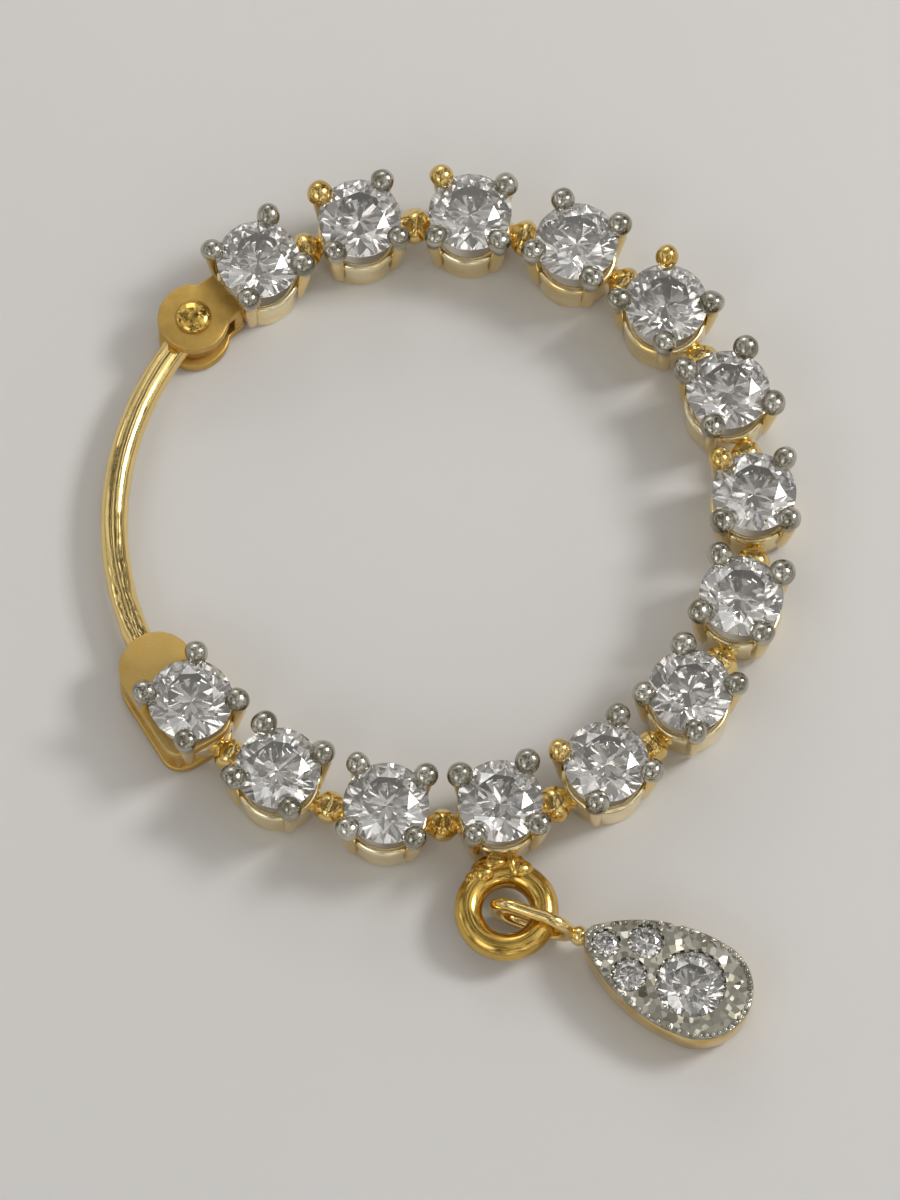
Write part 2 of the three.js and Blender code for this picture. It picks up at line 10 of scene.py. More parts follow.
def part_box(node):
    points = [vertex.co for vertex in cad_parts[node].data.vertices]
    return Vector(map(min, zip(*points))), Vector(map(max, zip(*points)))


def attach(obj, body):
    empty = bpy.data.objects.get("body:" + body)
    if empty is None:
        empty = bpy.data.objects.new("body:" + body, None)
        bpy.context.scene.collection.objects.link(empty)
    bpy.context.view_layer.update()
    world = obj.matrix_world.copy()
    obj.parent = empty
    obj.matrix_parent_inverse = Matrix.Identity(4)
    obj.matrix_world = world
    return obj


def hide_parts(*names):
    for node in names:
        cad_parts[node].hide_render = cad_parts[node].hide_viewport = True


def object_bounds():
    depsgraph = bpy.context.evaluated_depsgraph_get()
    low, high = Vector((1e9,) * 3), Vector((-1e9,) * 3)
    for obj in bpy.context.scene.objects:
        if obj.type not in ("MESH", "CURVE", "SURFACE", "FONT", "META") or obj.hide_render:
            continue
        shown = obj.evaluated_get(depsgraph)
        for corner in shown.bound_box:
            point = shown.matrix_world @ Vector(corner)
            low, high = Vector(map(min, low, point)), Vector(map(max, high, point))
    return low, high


bl_info = {
    "name": "Hinged Hoop Nose Ring",
    "version": (1, 0, 0),
    "blender": (4, 5, 0),
    "location": "3D View > Sidebar > Nose Ring",
    "description": "Builds a hinged hoop nose ring with a row of round stones and a pear drop",
    "category": "Object",
}

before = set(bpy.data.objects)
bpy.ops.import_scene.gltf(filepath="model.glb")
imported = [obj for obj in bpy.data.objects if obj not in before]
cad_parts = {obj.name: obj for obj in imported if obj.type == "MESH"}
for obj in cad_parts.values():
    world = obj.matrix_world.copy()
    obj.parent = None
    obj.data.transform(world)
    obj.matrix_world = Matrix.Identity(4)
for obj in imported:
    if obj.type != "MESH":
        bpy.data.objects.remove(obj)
CAD_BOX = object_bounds()
MM = 0.001
Z = Vector((0, 0, 1))
FULL_TURN = 2 * math.pi
BASKETS = range(1, 15)
ROW = [f"stone_{number:02d}" for number in BASKETS]
DROP_STONES = [f"drop_stone_{number}" for number in range(1, 5)]
GOLD_TIPS = {(2, 0), (3, 0), (5, 0), (7, 1), (10, 2)}  # (basket, prong) left yellow by the plating
HOOP_SAG = 0.15 * MM  # between a chord of the stones' circle and the circle
STONE_DEPTH = 0.6  # of a stone's diameter
GIRDLE_HEIGHT = 0.435  # of a stone's diameter, from its point to the middle of its girdle
GIRDLE_TOP = 2.49 * MM  # height of the upper edge of the girdles in the row
CROWN_SLOPE = 0.7  # rise of a stone's crown from its girdle inwards
SUNK = 0.05 * MM  # how far a soldered block reaches into the plates above and below it
SLIVER = 0.0003 * MM  # a gap or face narrower than this is closed up
noise.seed_set(14)  # without a seed the noise starts from the clock, and differs each run


def size(name, description, millimetres):
    """A length that a user may change, kept in metres."""
    return FloatProperty(name=name, description=description, default=millimetres * MM, unit='LENGTH',
                         precision=5)


def bearing(name, description, degrees):
    return FloatProperty(name=name, description=description, default=math.radians(degrees), subtype='ANGLE')


def level(name, description, value):
    return FloatProperty(name=name, description=description, default=value, min=0)


def colour(name, description, value):
    return FloatVectorProperty(name=name, description=description, default=value, subtype='COLOR',
                               size=3, min=0, max=1)


class NoseRingBaskets(bpy.types.PropertyGroup):
    stone: size("Stone", "Diameter of the stones in the row, pressed against their prongs", 2.6)
    collet_height: size("Collet height", "Height of a basket's round wall", 1.4)
    collet_top: size("Collet top", "Outer radius of the wall at its rim", 1.32)
    collet_foot: size("Collet foot", "Outer radius of the wall at its foot", 1.24)
    collet_wall: size("Collet wall", "Thickness of the wall", 0.27)
    post: size("Post", "Radius of a prong's post", 0.25)
    post_reach: size("Post reach", "From the stone's middle to the foot of a post", 1.2)
    tip: size("Tip", "Radius of a prong's round tip", 0.38)
    tip_reach: size("Tip reach", "From the stone's middle to the middle of a tip", 1.44)
    tip_height: size("Tip height", "Height of the middle of a tip", 2.66)
    bead: size("Bead", "Radius of the bead between two baskets", 0.46)
    bar: size("Bar", "Radius of the bar that carries the bead", 0.23)
    bar_height: size("Bar height", "Height of the bars between the baskets", 1.0)
    bar_outset: size("Bar outset", "How far the bars lie outside the stones' circle", 0.1)


class NoseRingHinge(bpy.types.PropertyGroup):
    wire: size("Wire", "Diameter of the ear wire", 0.85)
    wire_circle: size("Wire circle", "Radius of the wire's circle", 9.95)
    wire_height: size("Wire height", "Height of the wire's axis", 0.93)
    clearance: size("Clearance", "Room on each side of what turns", 0.05)
    eye: size("Eye", "Outer radius of the wire's eye", 0.9)
    rivet: size("Rivet", "Radius of the hinge rivet", 0.46)
    rivet_head: size("Rivet head", "Radius of the rivet's round head", 0.57)
    rivet_rise: size("Rivet rise", "Rise of the rivet's head above its plate", 0.22)
    plate: size("Plate", "Thickness of the hinge and catch plates", 0.37)
    ear: size("Ear", "Radius of the hinge plates", 1.12)
    ear_neck: size("Ear neck", "Width of the hinge plates at the basket", 1.5)
    jaw: size("Jaw", "Half the width of the catch", 1.2)
    jaw_wall: size("Jaw wall", "Thickness of the closed side of the catch", 0.65)
    jaw_run: size("Jaw run", "How far the catch runs past the last basket's middle", 1.25)
    wire_end_gap: size("Wire end gap", "From the wire's end to the last collet", 0.3)


class NoseRingDrop(bpy.types.PropertyGroup):
    basket: IntProperty(name="Basket", description="Basket that carries the drop ring",
                        default=11, min=BASKETS[0], max=BASKETS[-1])
    ring_turn: bearing("Ring turn", "Turn of the drop ring from the basket's middle", -1.8)
    ring: size("Ring", "Outer radius of the drop ring", 1.6)
    ring_wire: size("Ring wire", "Thickness of the drop ring", 0.86)
    ring_height: size("Ring height", "Height of the drop ring's middle", 0.97)
    ring_standoff: size("Ring standoff", "From the collet to the drop ring", 0.08)
    bail_wire: size("Bail wire", "Thickness of the bail's wire", 0.39)
    bail_length: size("Bail length", "Outer length of the bail loop", 3.1)
    bail_angle: bearing("Bail angle", "Direction of the bail from the drop ring", -20)
    bail_clearance: size("Bail clearance", "Above and below the drop ring's wire", 0.06)
    bail_back: size("Bail back", "How far the bail reaches past the drop ring's middle", 0.55)
    ball: size("Ball", "Radius of the ball between the bail and the pear", 0.31)
    neck: size("Neck", "How far the loop's end stays back from the ball's middle", 0.3)
    pear_angle: bearing("Pear angle", "Direction of the pear from its tip", -27)
    pear_length: size("Pear length", "Length of the pear from where its sides would meet", 5.7)
    pear_tip: size("Pear tip", "Radius of the pear's blunt tip", 0.5)
    pear_start: size("Pear start", "From the ball to where the pear's sides would meet", -0.035)
    pear_width: size("Pear width", "Width of the pear", 3.2)
    pear_side: size("Pear side", "Radius of the pear's long sides", 5.0)
    pear_height: size("Pear height", "Height of the pear's rim", 1.6)
    bed_depth: size("Bed depth", "From the rim down to the bed of the stones", 0.2)
    grain: size("Grain", "Radius of the grains that hold the stones", 0.125)


class NoseRingFinish(bpy.types.PropertyGroup):
    gold: colour("Gold", "Polished yellow gold plating", (0.86, 0.65, 0.27))
    gold_deep: colour("Deep gold", "Gold in the hollows and casting marks", (0.68, 0.44, 0.12))
    # Gold of the collets, made paler than the gold as a painted highlight standing for the pale reflections
    # on their walls
    collet_gold: colour("Collet gold", "Paler gold of the smooth collets", (0.96, 0.84, 0.55))
    satin_gold: colour("Satin gold", "Brushed catch plates", (0.66, 0.46, 0.165))
    hinge_gold: colour("Hinge gold", "Deeper satin gold of the hinge plates", (0.58, 0.37, 0.1))
    ring_gold: colour("Ring gold", "Deep gold of the drop ring and its solder", (0.74, 0.49, 0.125))
    # Paler gold of the ear wire; on the bail and ball the same paleness is painted light, brightening them
    # where the pear shades them
    wire_gold: colour("Wire gold", "Paler gold of the ear wire", (0.93, 0.7, 0.29))
    rhodium: colour("Rhodium", "Grey-white plating of the tips and the pear's top", (0.59, 0.565, 0.49))
    rhodium_dark: colour("Dark rhodium", "Plating in the hollows", (0.27, 0.25, 0.19))
    stone: colour("Stone", "Tint of the clear stones", (1.0, 0.975, 0.935))
    floor: colour("Floor", "Pale floor", (0.68, 0.665, 0.645))


class NoseRingStage(bpy.types.PropertyGroup):
    camera: FloatVectorProperty(name="Camera", description="Camera from the middle of the hoop",
                                default=(-2.21 * MM, -75.5 * MM, 199.1 * MM), subtype='TRANSLATION',
                                precision=4)
    tilt: bearing("Tilt", "Tilt of the camera from straight down", 20)
    lens: FloatProperty(name="Lens", description="Focal length in millimetres", default=205, min=20)
    key_power: level("Key light", "Power of the main soft light", 0.27)
    fill_power: level("Fill light", "Power of the wide fill light", 0.08)
    sky: level("Room light", "Strength of the light from all round", 0.47)


# Places on the ring, in metres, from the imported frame

def middle(node):
    low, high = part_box(node)
    return (low + high) / 2


def circle_through(a, b, c):
    """Middle of the circle through three points, at height 0."""
    ax, ay, bx, by, cx, cy = a.x, a.y, b.x, b.y, c.x, c.y
    d = 2 * (ax * (by - cy) + bx * (cy - ay) + cx * (ay - by))
    a2, b2, c2 = ax * ax + ay * ay, bx * bx + by * by, cx * cx + cy * cy
    return Vector(((a2 * (by - cy) + b2 * (cy - ay) + c2 * (ay - by)) / d,
                   (a2 * (cx - bx) + b2 * (ax - cx) + c2 * (bx - ax)) / d, 0))


HOOP = circle_through(middle(ROW[0]), middle(ROW[6]), middle(ROW[13]))
HINGE = middle("hinge_rivet")


def moved_by(x, y, z=0):
    return Matrix.Translation((x, y, z))


def turned_by(angle, axis='Z'):
    return Matrix.Rotation(angle, 4, axis)


def cad_diameter(node):
    """A stone's diameter in the frame, from its depth."""
    low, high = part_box(node)
    return (high.z - low.z) / STONE_DEPTH


def girdle_place(node):
    """The middle of a stone's girdle."""
    centre = middle(node)
    low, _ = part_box(node)
    return moved_by(centre.x, centre.y, low.z + GIRDLE_HEIGHT * cad_diameter(node))


def basket_place(number):
    centre = middle(ROW[number - 1])
    return Vector((centre.x, centre.y, 0))


def heading(vector):
    return math.atan2(vector.y, vector.x)


def basket_frame(number):
    """Stands on the floor under a stone, with its +X side away from the hoop's middle."""
    place = basket_place(number)
    return Matrix.Translation(place) @ turned_by(heading(place - HOOP))


def on_circle(radius, angle, height=0.0):
    return HOOP + Vector((radius * math.cos(angle), radius * math.sin(angle), height))


def catch_angle(hinge, baskets):
    """Angle of the wire's end on its circle, beside the last collet."""
    last = basket_place(BASKETS[-1]) - HOOP
    a, b, reach = last.length, hinge.wire_circle, baskets.collet_top + hinge.wire_end_gap
    return heading(last) - math.acos((a * a + b * b - reach * reach) / (2 * a * b)) + FULL_TURN


# Shaping

def arc(x, z, radius, start, end, count):
    """Points of (radius, height) on an arc, for a turned profile."""
    steps = [math.radians(start + (end - start) * i / count) for i in range(count + 1)]
    return [(x + radius * math.cos(a), z + radius * math.sin(a)) for a in steps]


def tidied(bm):
    bmesh.ops.remove_doubles(bm, verts=bm.verts, dist=SLIVER)
    bmesh.ops.recalc_face_normals(bm, faces=bm.faces)
    return bm


def turned(profile, steps, ring=False):
    """A closed shape spun about Z from a profile of (radius, height) points."""
    bm = bmesh.new()
    points = [bm.verts.new((radius, 0, height)) for radius, height in profile]
    edges = [bm.edges.new(pair) for pair in zip(points, points[1:])]
    if ring:
        edges.append(bm.edges.new((points[-1], points[0])))
    bmesh.ops.spin(bm, geom=points + edges, cent=(0, 0, 0), axis=Z, angle=FULL_TURN, steps=steps,
                   use_merge=True)
    return tidied(bm)


def moved(bm, place):
    bmesh.ops.transform(bm, matrix=place, verts=bm.verts[:])
    return bm


def ball(radius, subdivisions):
    bm = bmesh.new()
    bmesh.ops.create_icosphere(bm, subdivisions=subdivisions, radius=radius)
    return bm


def stamped(bm, shape, places):
    """Adds a copy of a shape at each place, and gives the points of each copy."""
    mesh = bpy.data.meshes.new("shape")
    shape.to_mesh(mesh)
    copies = []
    for place in places:
        known = len(bm.verts)
        bm.from_mesh(mesh)
        bm.verts.ensure_lookup_table()
        points = bm.verts[known:]
        bmesh.ops.transform(bm, matrix=place, verts=points)
        copies.append(points)
    bpy.data.meshes.remove(mesh)
    return copies


def joined(bm, shape, place=Matrix.Identity(4)):
    """Adds a shape at a place, uses the shape up, and gives its points."""
    points = stamped(bm, shape, [place])[0]
    shape.free()
    return points


def uneven(points, grain, depth, seed):
    """Moves points by a soft noise, as on hand-finished metal."""
    for point in points:
        point.co += noise.noise_vector(point.co / grain + Vector((seed, seed, seed))) * depth


def smoothed(mesh, crease):
    """Shades a mesh smooth but for edges sharper than a crease in degrees. A crease of 0 keeps it flat."""
    for face in mesh.polygons:
        face.use_smooth = crease > 0
    if crease > 0:
        mesh.set_sharp_from_angle(angle=math.radians(crease))


def new_object(name, bm):
    """An object at the origin that takes its mesh from a bmesh and uses that up."""
    mesh = bpy.data.meshes.new(name)
    bm.to_mesh(mesh)
    bm.free()
    obj = bpy.data.objects.new(name, mesh)
    bpy.context.scene.collection.objects.link(obj)
    return obj


def piece(name, bm, look, *, nodes=("hoop_frame",), body="hoop", crease=40):
    """Makes a finished piece: its mesh, finish and body, with the frame's nodes that it stands for hidden."""
    low, high = CAD_BOX
    for point in bm.verts:
        point.co = [min(max(value, least), most) for value, least, most in zip(point.co, low, high)]
    obj = new_object(name, bm)
    smoothed(obj.data, crease)
    obj.data.materials.append(finish(look))
    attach(obj, body)
    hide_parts(*nodes)
    return obj


def round_cutter(radius, place):
    """A tall round body that cuts another one where it stands."""
    low, high = -1 * MM, 4 * MM
    shape = turned([(0, low), (radius, low), (radius, high), (0, high)], 72)
    return new_object("cutter", moved(shape, moved_by(place.x, place.y)))


def without_slivers(mesh):
    """Cuts a mesh into triangles and closes the gaps and faces that are too narrow to see."""
    bm = bmesh.new()
    bm.from_mesh(mesh)
    bmesh.ops.remove_doubles(bm, verts=bm.verts[:], dist=SLIVER)
    bmesh.ops.triangulate(bm, faces=bm.faces[:])
    bmesh.ops.dissolve_degenerate(bm, dist=SLIVER, edges=bm.edges[:])
    bm.to_mesh(mesh)
    bm.free()


def carved(obj, cutters, crease=35):
    """Cuts the cutting bodies out of a piece, and removes them."""
    for body in cutters:
        cut = obj.modifiers.new("seat", 'BOOLEAN')
        cut.operation, cut.solver, cut.object = 'DIFFERENCE', 'EXACT', body
        cut.use_self = True
    bpy.context.view_layer.update()
    mesh = bpy.data.meshes.new_from_object(obj.evaluated_get(bpy.context.evaluated_depsgraph_get()))
    obj.modifiers.clear()
    without_slivers(mesh)
    old = obj.data
    obj.data = mesh
    bpy.data.meshes.remove(old)
    for body in cutters:
        bpy.data.objects.remove(body)
    smoothed(mesh, crease)


# Finishes

def darker(colour_value, share):
    return [share * value for value in colour_value]


class Shading:
    """Makes the nodes of a finish or of the room's light, each fed with sockets or plain values."""

    def __init__(self, tree, space):
        self.tree = tree
        self.place = self.node("TexCoord").outputs[space]

    def node(self, kind, feeds=None, **settings):
        """A new node of that kind, with its settings, and its inputs fed."""
        node = self.tree.nodes.new("ShaderNode" + kind)
        for setting, value in settings.items():
            setattr(node, setting, value)
        self.feed(node, feeds or {})
        return node

    def feed(self, node, feeds):
        """Feeds a node's inputs, given by name or number."""
        for name, value in feeds.items():
            if isinstance(value, bpy.types.NodeSocket):
                self.tree.links.new(value, node.inputs[name])
            else:
                node.inputs[name].default_value = value

    def cloudy(self, scale, detail=3.0, stretch=(1, 1, 1)):
        """Soft noise, with that many clouds a metre."""
        mapping = self.node("Mapping", {"Vector": self.place, "Scale": stretch})
        return self.node("TexNoise", {"Vector": mapping.outputs["Vector"], "Scale": scale,
                                      "Detail": detail}).outputs["Fac"]

    def ranged(self, source, low, high, to_low=0, to_high=1):
        """A value that goes from to_low to to_high as the source goes from low to high."""
        return self.node("MapRange", {"Value": source, "From Min": low, "From Max": high,
                                      "To Min": to_low, "To Max": to_high}).outputs["Result"]

    def blended(self, share, first, second):
        """A colour that goes from the first to the second as the share rises from 0 to 1."""
        mix = self.node("Mix", {"Factor": share}, data_type='RGBA')
        inputs = [number for number, socket in enumerate(mix.inputs) if socket.type == 'RGBA']
        for number, value in zip(inputs, (first, second)):
            self.feed(mix, {number: value if isinstance(value, bpy.types.NodeSocket) else (*value, 1)})
        return [socket for socket in mix.outputs if socket.type == 'RGBA'][0]

    def bumped(self, height, distance, strength):
        """The surface's direction over bumps of that height, in metres."""
        return self.node("Bump", {"Height": height, "Distance": distance,
                                  "Strength": strength}).outputs["Normal"]


def new_finish(name):
    """A material, its shading in the piece's own coordinates, and its shader."""
    material = bpy.data.materials.new(name)
    material.use_nodes = True
    material.node_tree.nodes.clear()
    shading = Shading(material.node_tree, "Object")
    shader = shading.node("BsdfPrincipled")
    shading.node("OutputMaterial", {"Surface": shader.outputs["BSDF"]})
    return material, shading, shader


def polished_gold(name, light, deep, roughness=(0.08, 0.2), wave=0.012 * MM):
    """Bright plated gold with soft casting waves and a slightly deeper colour in patches."""
    material, shading, shader = new_finish(name)
    patches = shading.ranged(shading.cloudy(900), 0.42, 0.68)
    smears = shading.ranged(shading.cloudy(2600, 4), 0.3, 0.7, *roughness)
    waves = shading.bumped(shading.cloudy(1500, 2), wave, 0.6)
    shading.feed(shader, {"Metallic": 1, "Base Color": shading.blended(patches, light, deep),
                          "Roughness": smears, "Normal": waves})
    return material


def satin_gold(name, light, deep):
    """Gold left matt from the file, with fine pits and short scratches."""
    material, shading, shader = new_finish(name)
    patches = shading.ranged(shading.cloudy(2400, 4), 0.35, 0.65)
    grain = shading.cloudy(14000, 5, (1, 3, 1))
    shading.feed(shader, {"Metallic": 1, "Base Color": shading.blended(patches, light, deep),
                          "Roughness": shading.ranged(grain, 0.3, 0.7, 0.3, 0.5),
                          "Normal": shading.bumped(grain, 0.012 * MM, 0.7)})
    return material


def rhodium(name, light, dark, gold=None):
    """Grey-white plating, darker in patches. On gold it wears through with a ragged edge low down."""
    material, shading, shader = new_finish(name)
    patches = shading.cloudy(1600)
    base = shading.blended(shading.ranged(patches, 0.38, 0.66), light, dark)
    if gold is not None:
        edge, fade, ragged = 2.5 * MM, 0.22 * MM, 0.9 * MM
        height = shading.node("SeparateXYZ", {"Vector": shading.place}).outputs["Z"]
        raised = shading.node("Math", {0: patches, 1: ragged, 2: height}, operation='MULTIPLY_ADD')
        plated = shading.ranged(raised.outputs["Value"], edge, edge + fade)
        base = shading.blended(plated, gold, base)
    shading.feed(shader, {"Metallic": 1, "Base Color": base,
                          "Roughness": shading.ranged(shading.cloudy(3000, 4), 0.3, 0.7, 0.1, 0.26),
                          "Normal": shading.bumped(shading.cloudy(2200, 2), 0.01 * MM, 0.6)})
    return material


def pave_rhodium(name, light, dark):
    """The grey-white top of the pear, cut into small bright facets between its stones."""
    material, shading, shader = new_finish(name)
    facets = shading.node("TexVoronoi", {"Vector": shading.place, "Scale": 5200}).outputs["Color"]
    tone = shading.node("SeparateColor", {"Color": facets}).outputs["Red"]
    lean = shading.node("VectorMath", {0: facets, 1: (0.5, 0.5, 0.5)}, operation='SUBTRACT').outputs["Vector"]
    surface = shading.node("NewGeometry").outputs["Normal"]
    tipped = shading.node("VectorMath", {0: lean, 1: (0.75, 0.75, 0.0), 2: surface}, operation='MULTIPLY_ADD')
    even = shading.node("VectorMath", {0: tipped.outputs["Vector"]}, operation='NORMALIZE')
    base = shading.blended(shading.ranged(tone, 0.3, 0.9), darker(light, 0.78), dark)
    shading.feed(shader, {"Metallic": 1, "Base Color": base, "Roughness": 0.28,
                          "Normal": even.outputs["Vector"]})
    return material


def clear_stone(name, tint):
    """Polished colourless stone, with the faint drag lines that polishing leaves on its facets."""
    material, shading, shader = new_finish(name)
    drag = shading.cloudy(3000, 3, (1, 4, 1))
    base = shading.blended(shading.ranged(drag, 0.3, 0.7), tint, darker(tint, 0.93))
    shading.feed(shader, {"Transmission Weight": 0.905, "IOR": 2.15, "Base Color": base,
                          "Roughness": shading.ranged(drag, 0.3, 0.7, 0.0, 0.03)})
    return material


def pale_floor(name, tone):
    material, shading, shader = new_finish(name)
    share = shading.ranged(shading.cloudy(18, 2), 0.3, 0.7)
    shading.feed(shader, {"Base Color": shading.blended(share, tone, darker(tone, 0.96)), "Roughness": 0.6})
    return material


FINISHES = {}


def finish(name):
    """The finish of that name, made once."""
    if name not in FINISHES:
        look = bpy.context.scene.nose_ring_finish
        # Darker gold: deep random patches on the ring and rivet, and painted shade over the whole eye
        deep_patches_and_painted_shade = darker(look.gold_deep, 0.8)
        maker, *values = {
            "polished gold": (polished_gold, look.gold, look.gold_deep),
            # painted highlight: the collets are the same gold, made paler to look brightly lit and reflecting
            "collet gold": (polished_gold, look.collet_gold, look.gold, (0.12, 0.26), 0.008 * MM),
            "satin gold": (satin_gold, look.satin_gold, look.gold_deep),
            "hinge gold": (satin_gold, look.hinge_gold, look.gold_deep),
            "ring gold": (polished_gold, look.ring_gold, deep_patches_and_painted_shade, (0.14, 0.24), 0.004 * MM),
            "rivet gold": (polished_gold, look.ring_gold, deep_patches_and_painted_shade),
            # painted shade: the eye is made dark so that the slot between the hinge plates looks shaded
            "eye gold": (polished_gold, deep_patches_and_painted_shade, darker(look.gold_deep, 0.6), (0.25, 0.4)),
            # paler gold: the ear wire's tone, and painted light on the bail and ball
            "wire gold": (polished_gold, look.wire_gold, look.gold),
            "pave": (pave_rhodium, look.rhodium, look.rhodium_dark),
            "rhodium": (rhodium, look.rhodium, look.rhodium_dark),
            "plated post": (rhodium, look.rhodium, look.rhodium_dark, look.gold),
            "clear stone": (clear_stone, look.stone),
            "pale floor": (pale_floor, look.floor),
        }[name]
        FINISHES[name] = maker(name, *values)
    return FINISHES[name]


# Pieces

class NOSE_RING_OT_collets(bpy.types.Operator):
    """The round walls of the baskets"""
    bl_idname = "nose_ring.collets"
    bl_label = "Collets"

    def execute(self, context):
        sizes = context.scene.nose_ring_baskets
        top, foot, wall, height = sizes.collet_top, sizes.collet_foot, sizes.collet_wall, sizes.collet_height
        waist, shoulder = height * 0.35, height * 0.75
        lip, soft = wall / 2, 0.08 * MM
        profile = [(foot - wall, soft), (foot - wall * 0.7, 0), (foot - soft, 0), (foot, soft)]
        profile += [(foot + 0.015 * MM, waist), (top - 0.03 * MM, shoulder)]
        profile += arc(top - lip, height - lip, lip, 0, 180, 8)
        profile += [(top - wall, shoulder), (foot - wall, waist)]
        shape = turned(profile, 64, ring=True)
        bm = bmesh.new()
        for number, points in enumerate(stamped(bm, shape, [basket_frame(basket) for basket in BASKETS])):
            uneven(points, 1.1 * MM, 0.018 * MM, number * 3.1)
        shape.free()
        # The collets' paler gold is a painted highlight over their gold colour
        piece("collets", bm, "collet gold")
        return {'FINISHED'}


def prong_places(basket):
    """Where each prong of a basket stands, with +X away from the stone."""
    return [basket_frame(basket) @ turned_by(math.radians(45 + 90 * k)) for k in range(4)]


def off_the_stone(points, place):
    """Moves a prong's points off the stone that it holds: up onto the crown, or out past the girdle."""
    radius, gap = bpy.context.scene.nose_ring_baskets.stone / 2, 0.02 * MM
    stone = place.translation
    for point in points:
        out = Vector((point.co.x - stone.x, point.co.y - stone.y, 0))
        reach = out.length
        crown = GIRDLE_TOP + (radius - reach) * CROWN_SLOPE + gap
        if reach >= radius + gap or point.co.z > crown or reach < radius * 0.5:
            continue
        if point.co.z > GIRDLE_TOP:
            point.co.z = crown
        else:
            point.co += out.normalized() * (radius + gap - reach)


def leaning_post(sizes):
    """A post that thickens upwards and leans out to its tip, with its stone's middle at the origin."""
    start, top, shoulder, steps = 0.12 * MM, sizes.tip_height - 0.05 * MM, 0.3 * MM, 8
    profile = [(0, start), (0.14 * MM, start + 0.02 * MM), (sizes.post * 0.8, start + 0.2 * MM)]
    profile += [(sizes.post * (0.85 + 0.15 * i / steps),
                 start + shoulder + (top - start - shoulder) * i / steps) for i in range(steps + 1)]
    post = turned(profile + [(0, top)], 24)
    for point in post.verts:
        rise = (point.co.z - start) / (top - start)
        point.co.x += sizes.post_reach + (sizes.tip_reach - sizes.post_reach) * min(1, 1.5 * rise)
    return post


class NOSE_RING_OT_prongs(bpy.types.Operator):
    """The posts of the baskets and their round tips"""
    bl_idname = "nose_ring.prongs"
    bl_label = "Prongs"

    def execute(self, context):
        sizes = context.scene.nose_ring_baskets
        dice = random.Random(14)
        post = leaning_post(sizes)
        below = -0.34 * MM
        tip = turned([(0, below), (sizes.post, below)] + arc(0, 0, sizes.tip, -46, 90, 14), 28)
        posts, white, yellow = bmesh.new(), bmesh.new(), bmesh.new()
        for basket in BASKETS:
            for k, place in enumerate(prong_places(basket)):
                off_the_stone(stamped(posts, post, [place])[0], place)
                wide = dice.uniform(0.96, 1.07)
                lean = turned_by(math.radians(dice.uniform(-16, -4)), 'Y')
                shift = moved_by(sizes.tip_reach + dice.uniform(-0.05, 0.03) * MM,
                                 dice.uniform(-0.05, 0.05) * MM,
                                 sizes.tip_height + dice.uniform(-0.04, 0.02) * MM)
                shape = Matrix.Diagonal((wide, wide * dice.uniform(0.93, 1.06), dice.uniform(0.85, 0.98), 1))
                target = yellow if (basket, k) in GOLD_TIPS else white
                points = stamped(target, tip, [place @ shift @ lean @ shape])[0]
                uneven(points, 0.45 * MM, 0.03 * MM, basket * 4 + k)
                off_the_stone(points, place)
        post.free()
        tip.free()
        piece("prong_posts", posts, "plated post")
        piece("prong_tips", white, "rhodium")
        piece("yellow_prong_tips", yellow, "polished gold")
        return {'FINISHED'}


class NOSE_RING_OT_links(bpy.types.Operator):
    """The bars with a bead that join the baskets"""
    bl_idname = "nose_ring.links"
    bl_label = "Links"

    def execute(self, context):
        sizes = context.scene.nose_ring_baskets
        bm = bmesh.new()
        dice = random.Random(5)
        for number in BASKETS[:-1]:
            here, there = basket_place(number), basket_place(number + 1)
            between = (here + there) / 2
            half = (there - here).length / 2 - sizes.collet_top + 0.12 * MM
            bead = min(sizes.bead, half * 0.95)
            flare, neck = sizes.bar * 1.3, sizes.bar * 1.05
            profile = [(0, -half), (flare, -half), (neck, -half * 0.8)] + arc(0, 0, bead, -52, 52, 14)
            profile += [(neck, half * 0.8), (flare, half), (0, half)]
            out = (between - HOOP).normalized()
            place = Matrix.Translation(between + out * (sizes.bar_outset + HOOP_SAG) + Z * sizes.bar_height)
            turn = turned_by(heading(there - here)) @ turned_by(math.pi / 2, 'Y')
            squash = Matrix.Diagonal((dice.uniform(1.0, 1.15), dice.uniform(1.1, 1.3), 1, 1))
            points = joined(bm, turned(profile, 32), place @ turn @ squash)
            uneven(points, 0.5 * MM, 0.045 * MM, number * 1.7)
        piece("basket_links", bm, "polished gold")
        return {'FINISHED'}


def brilliant_planes(radius, half, crown, pavilion):
    """Three points of the plane of each facet of a round brilliant, its girdle at height 0."""
    table = 0.57 * radius
    eighth, sixteenth = 45, 22.5  # of a turn, in degrees
    slant = math.cos(math.radians(sixteenth))
    star = (table * slant + radius) / 2  # where the star facets end
    lower = radius * 0.22  # where the lower girdle facets end
    star_height = half + (radius - star * slant) * crown / (radius - table)
    lower_height = -half - (radius - lower * slant) * pavilion / radius

    def at(distance, turn, height):
        angle = math.radians(turn)
        return Vector((distance * math.cos(angle), distance * math.sin(angle), height))

    planes = []
    for turn in range(0, 360, eighth):
        aside = Z.cross(at(1, turn, 0))
        over, under = at(radius, turn, half), at(radius, turn, -half)
        corner, upper = at(table, turn, half + crown), at(star, turn + sixteenth, star_height)
        planes.append((over, over + aside, corner))
        planes.append((corner, at(table, turn + eighth, half + crown), upper))
        planes.append((under, under + aside, Vector((0, 0, -half - pavilion))))
        for side in (turn, turn + sixteenth):
            planes.append((at(radius, side, half), at(radius, side + sixteenth, half), upper))
            planes.append((at(radius, side, -half), at(radius, side + sixteenth, -half),
                           at(lower, turn + sixteenth, lower_height)))
    return planes


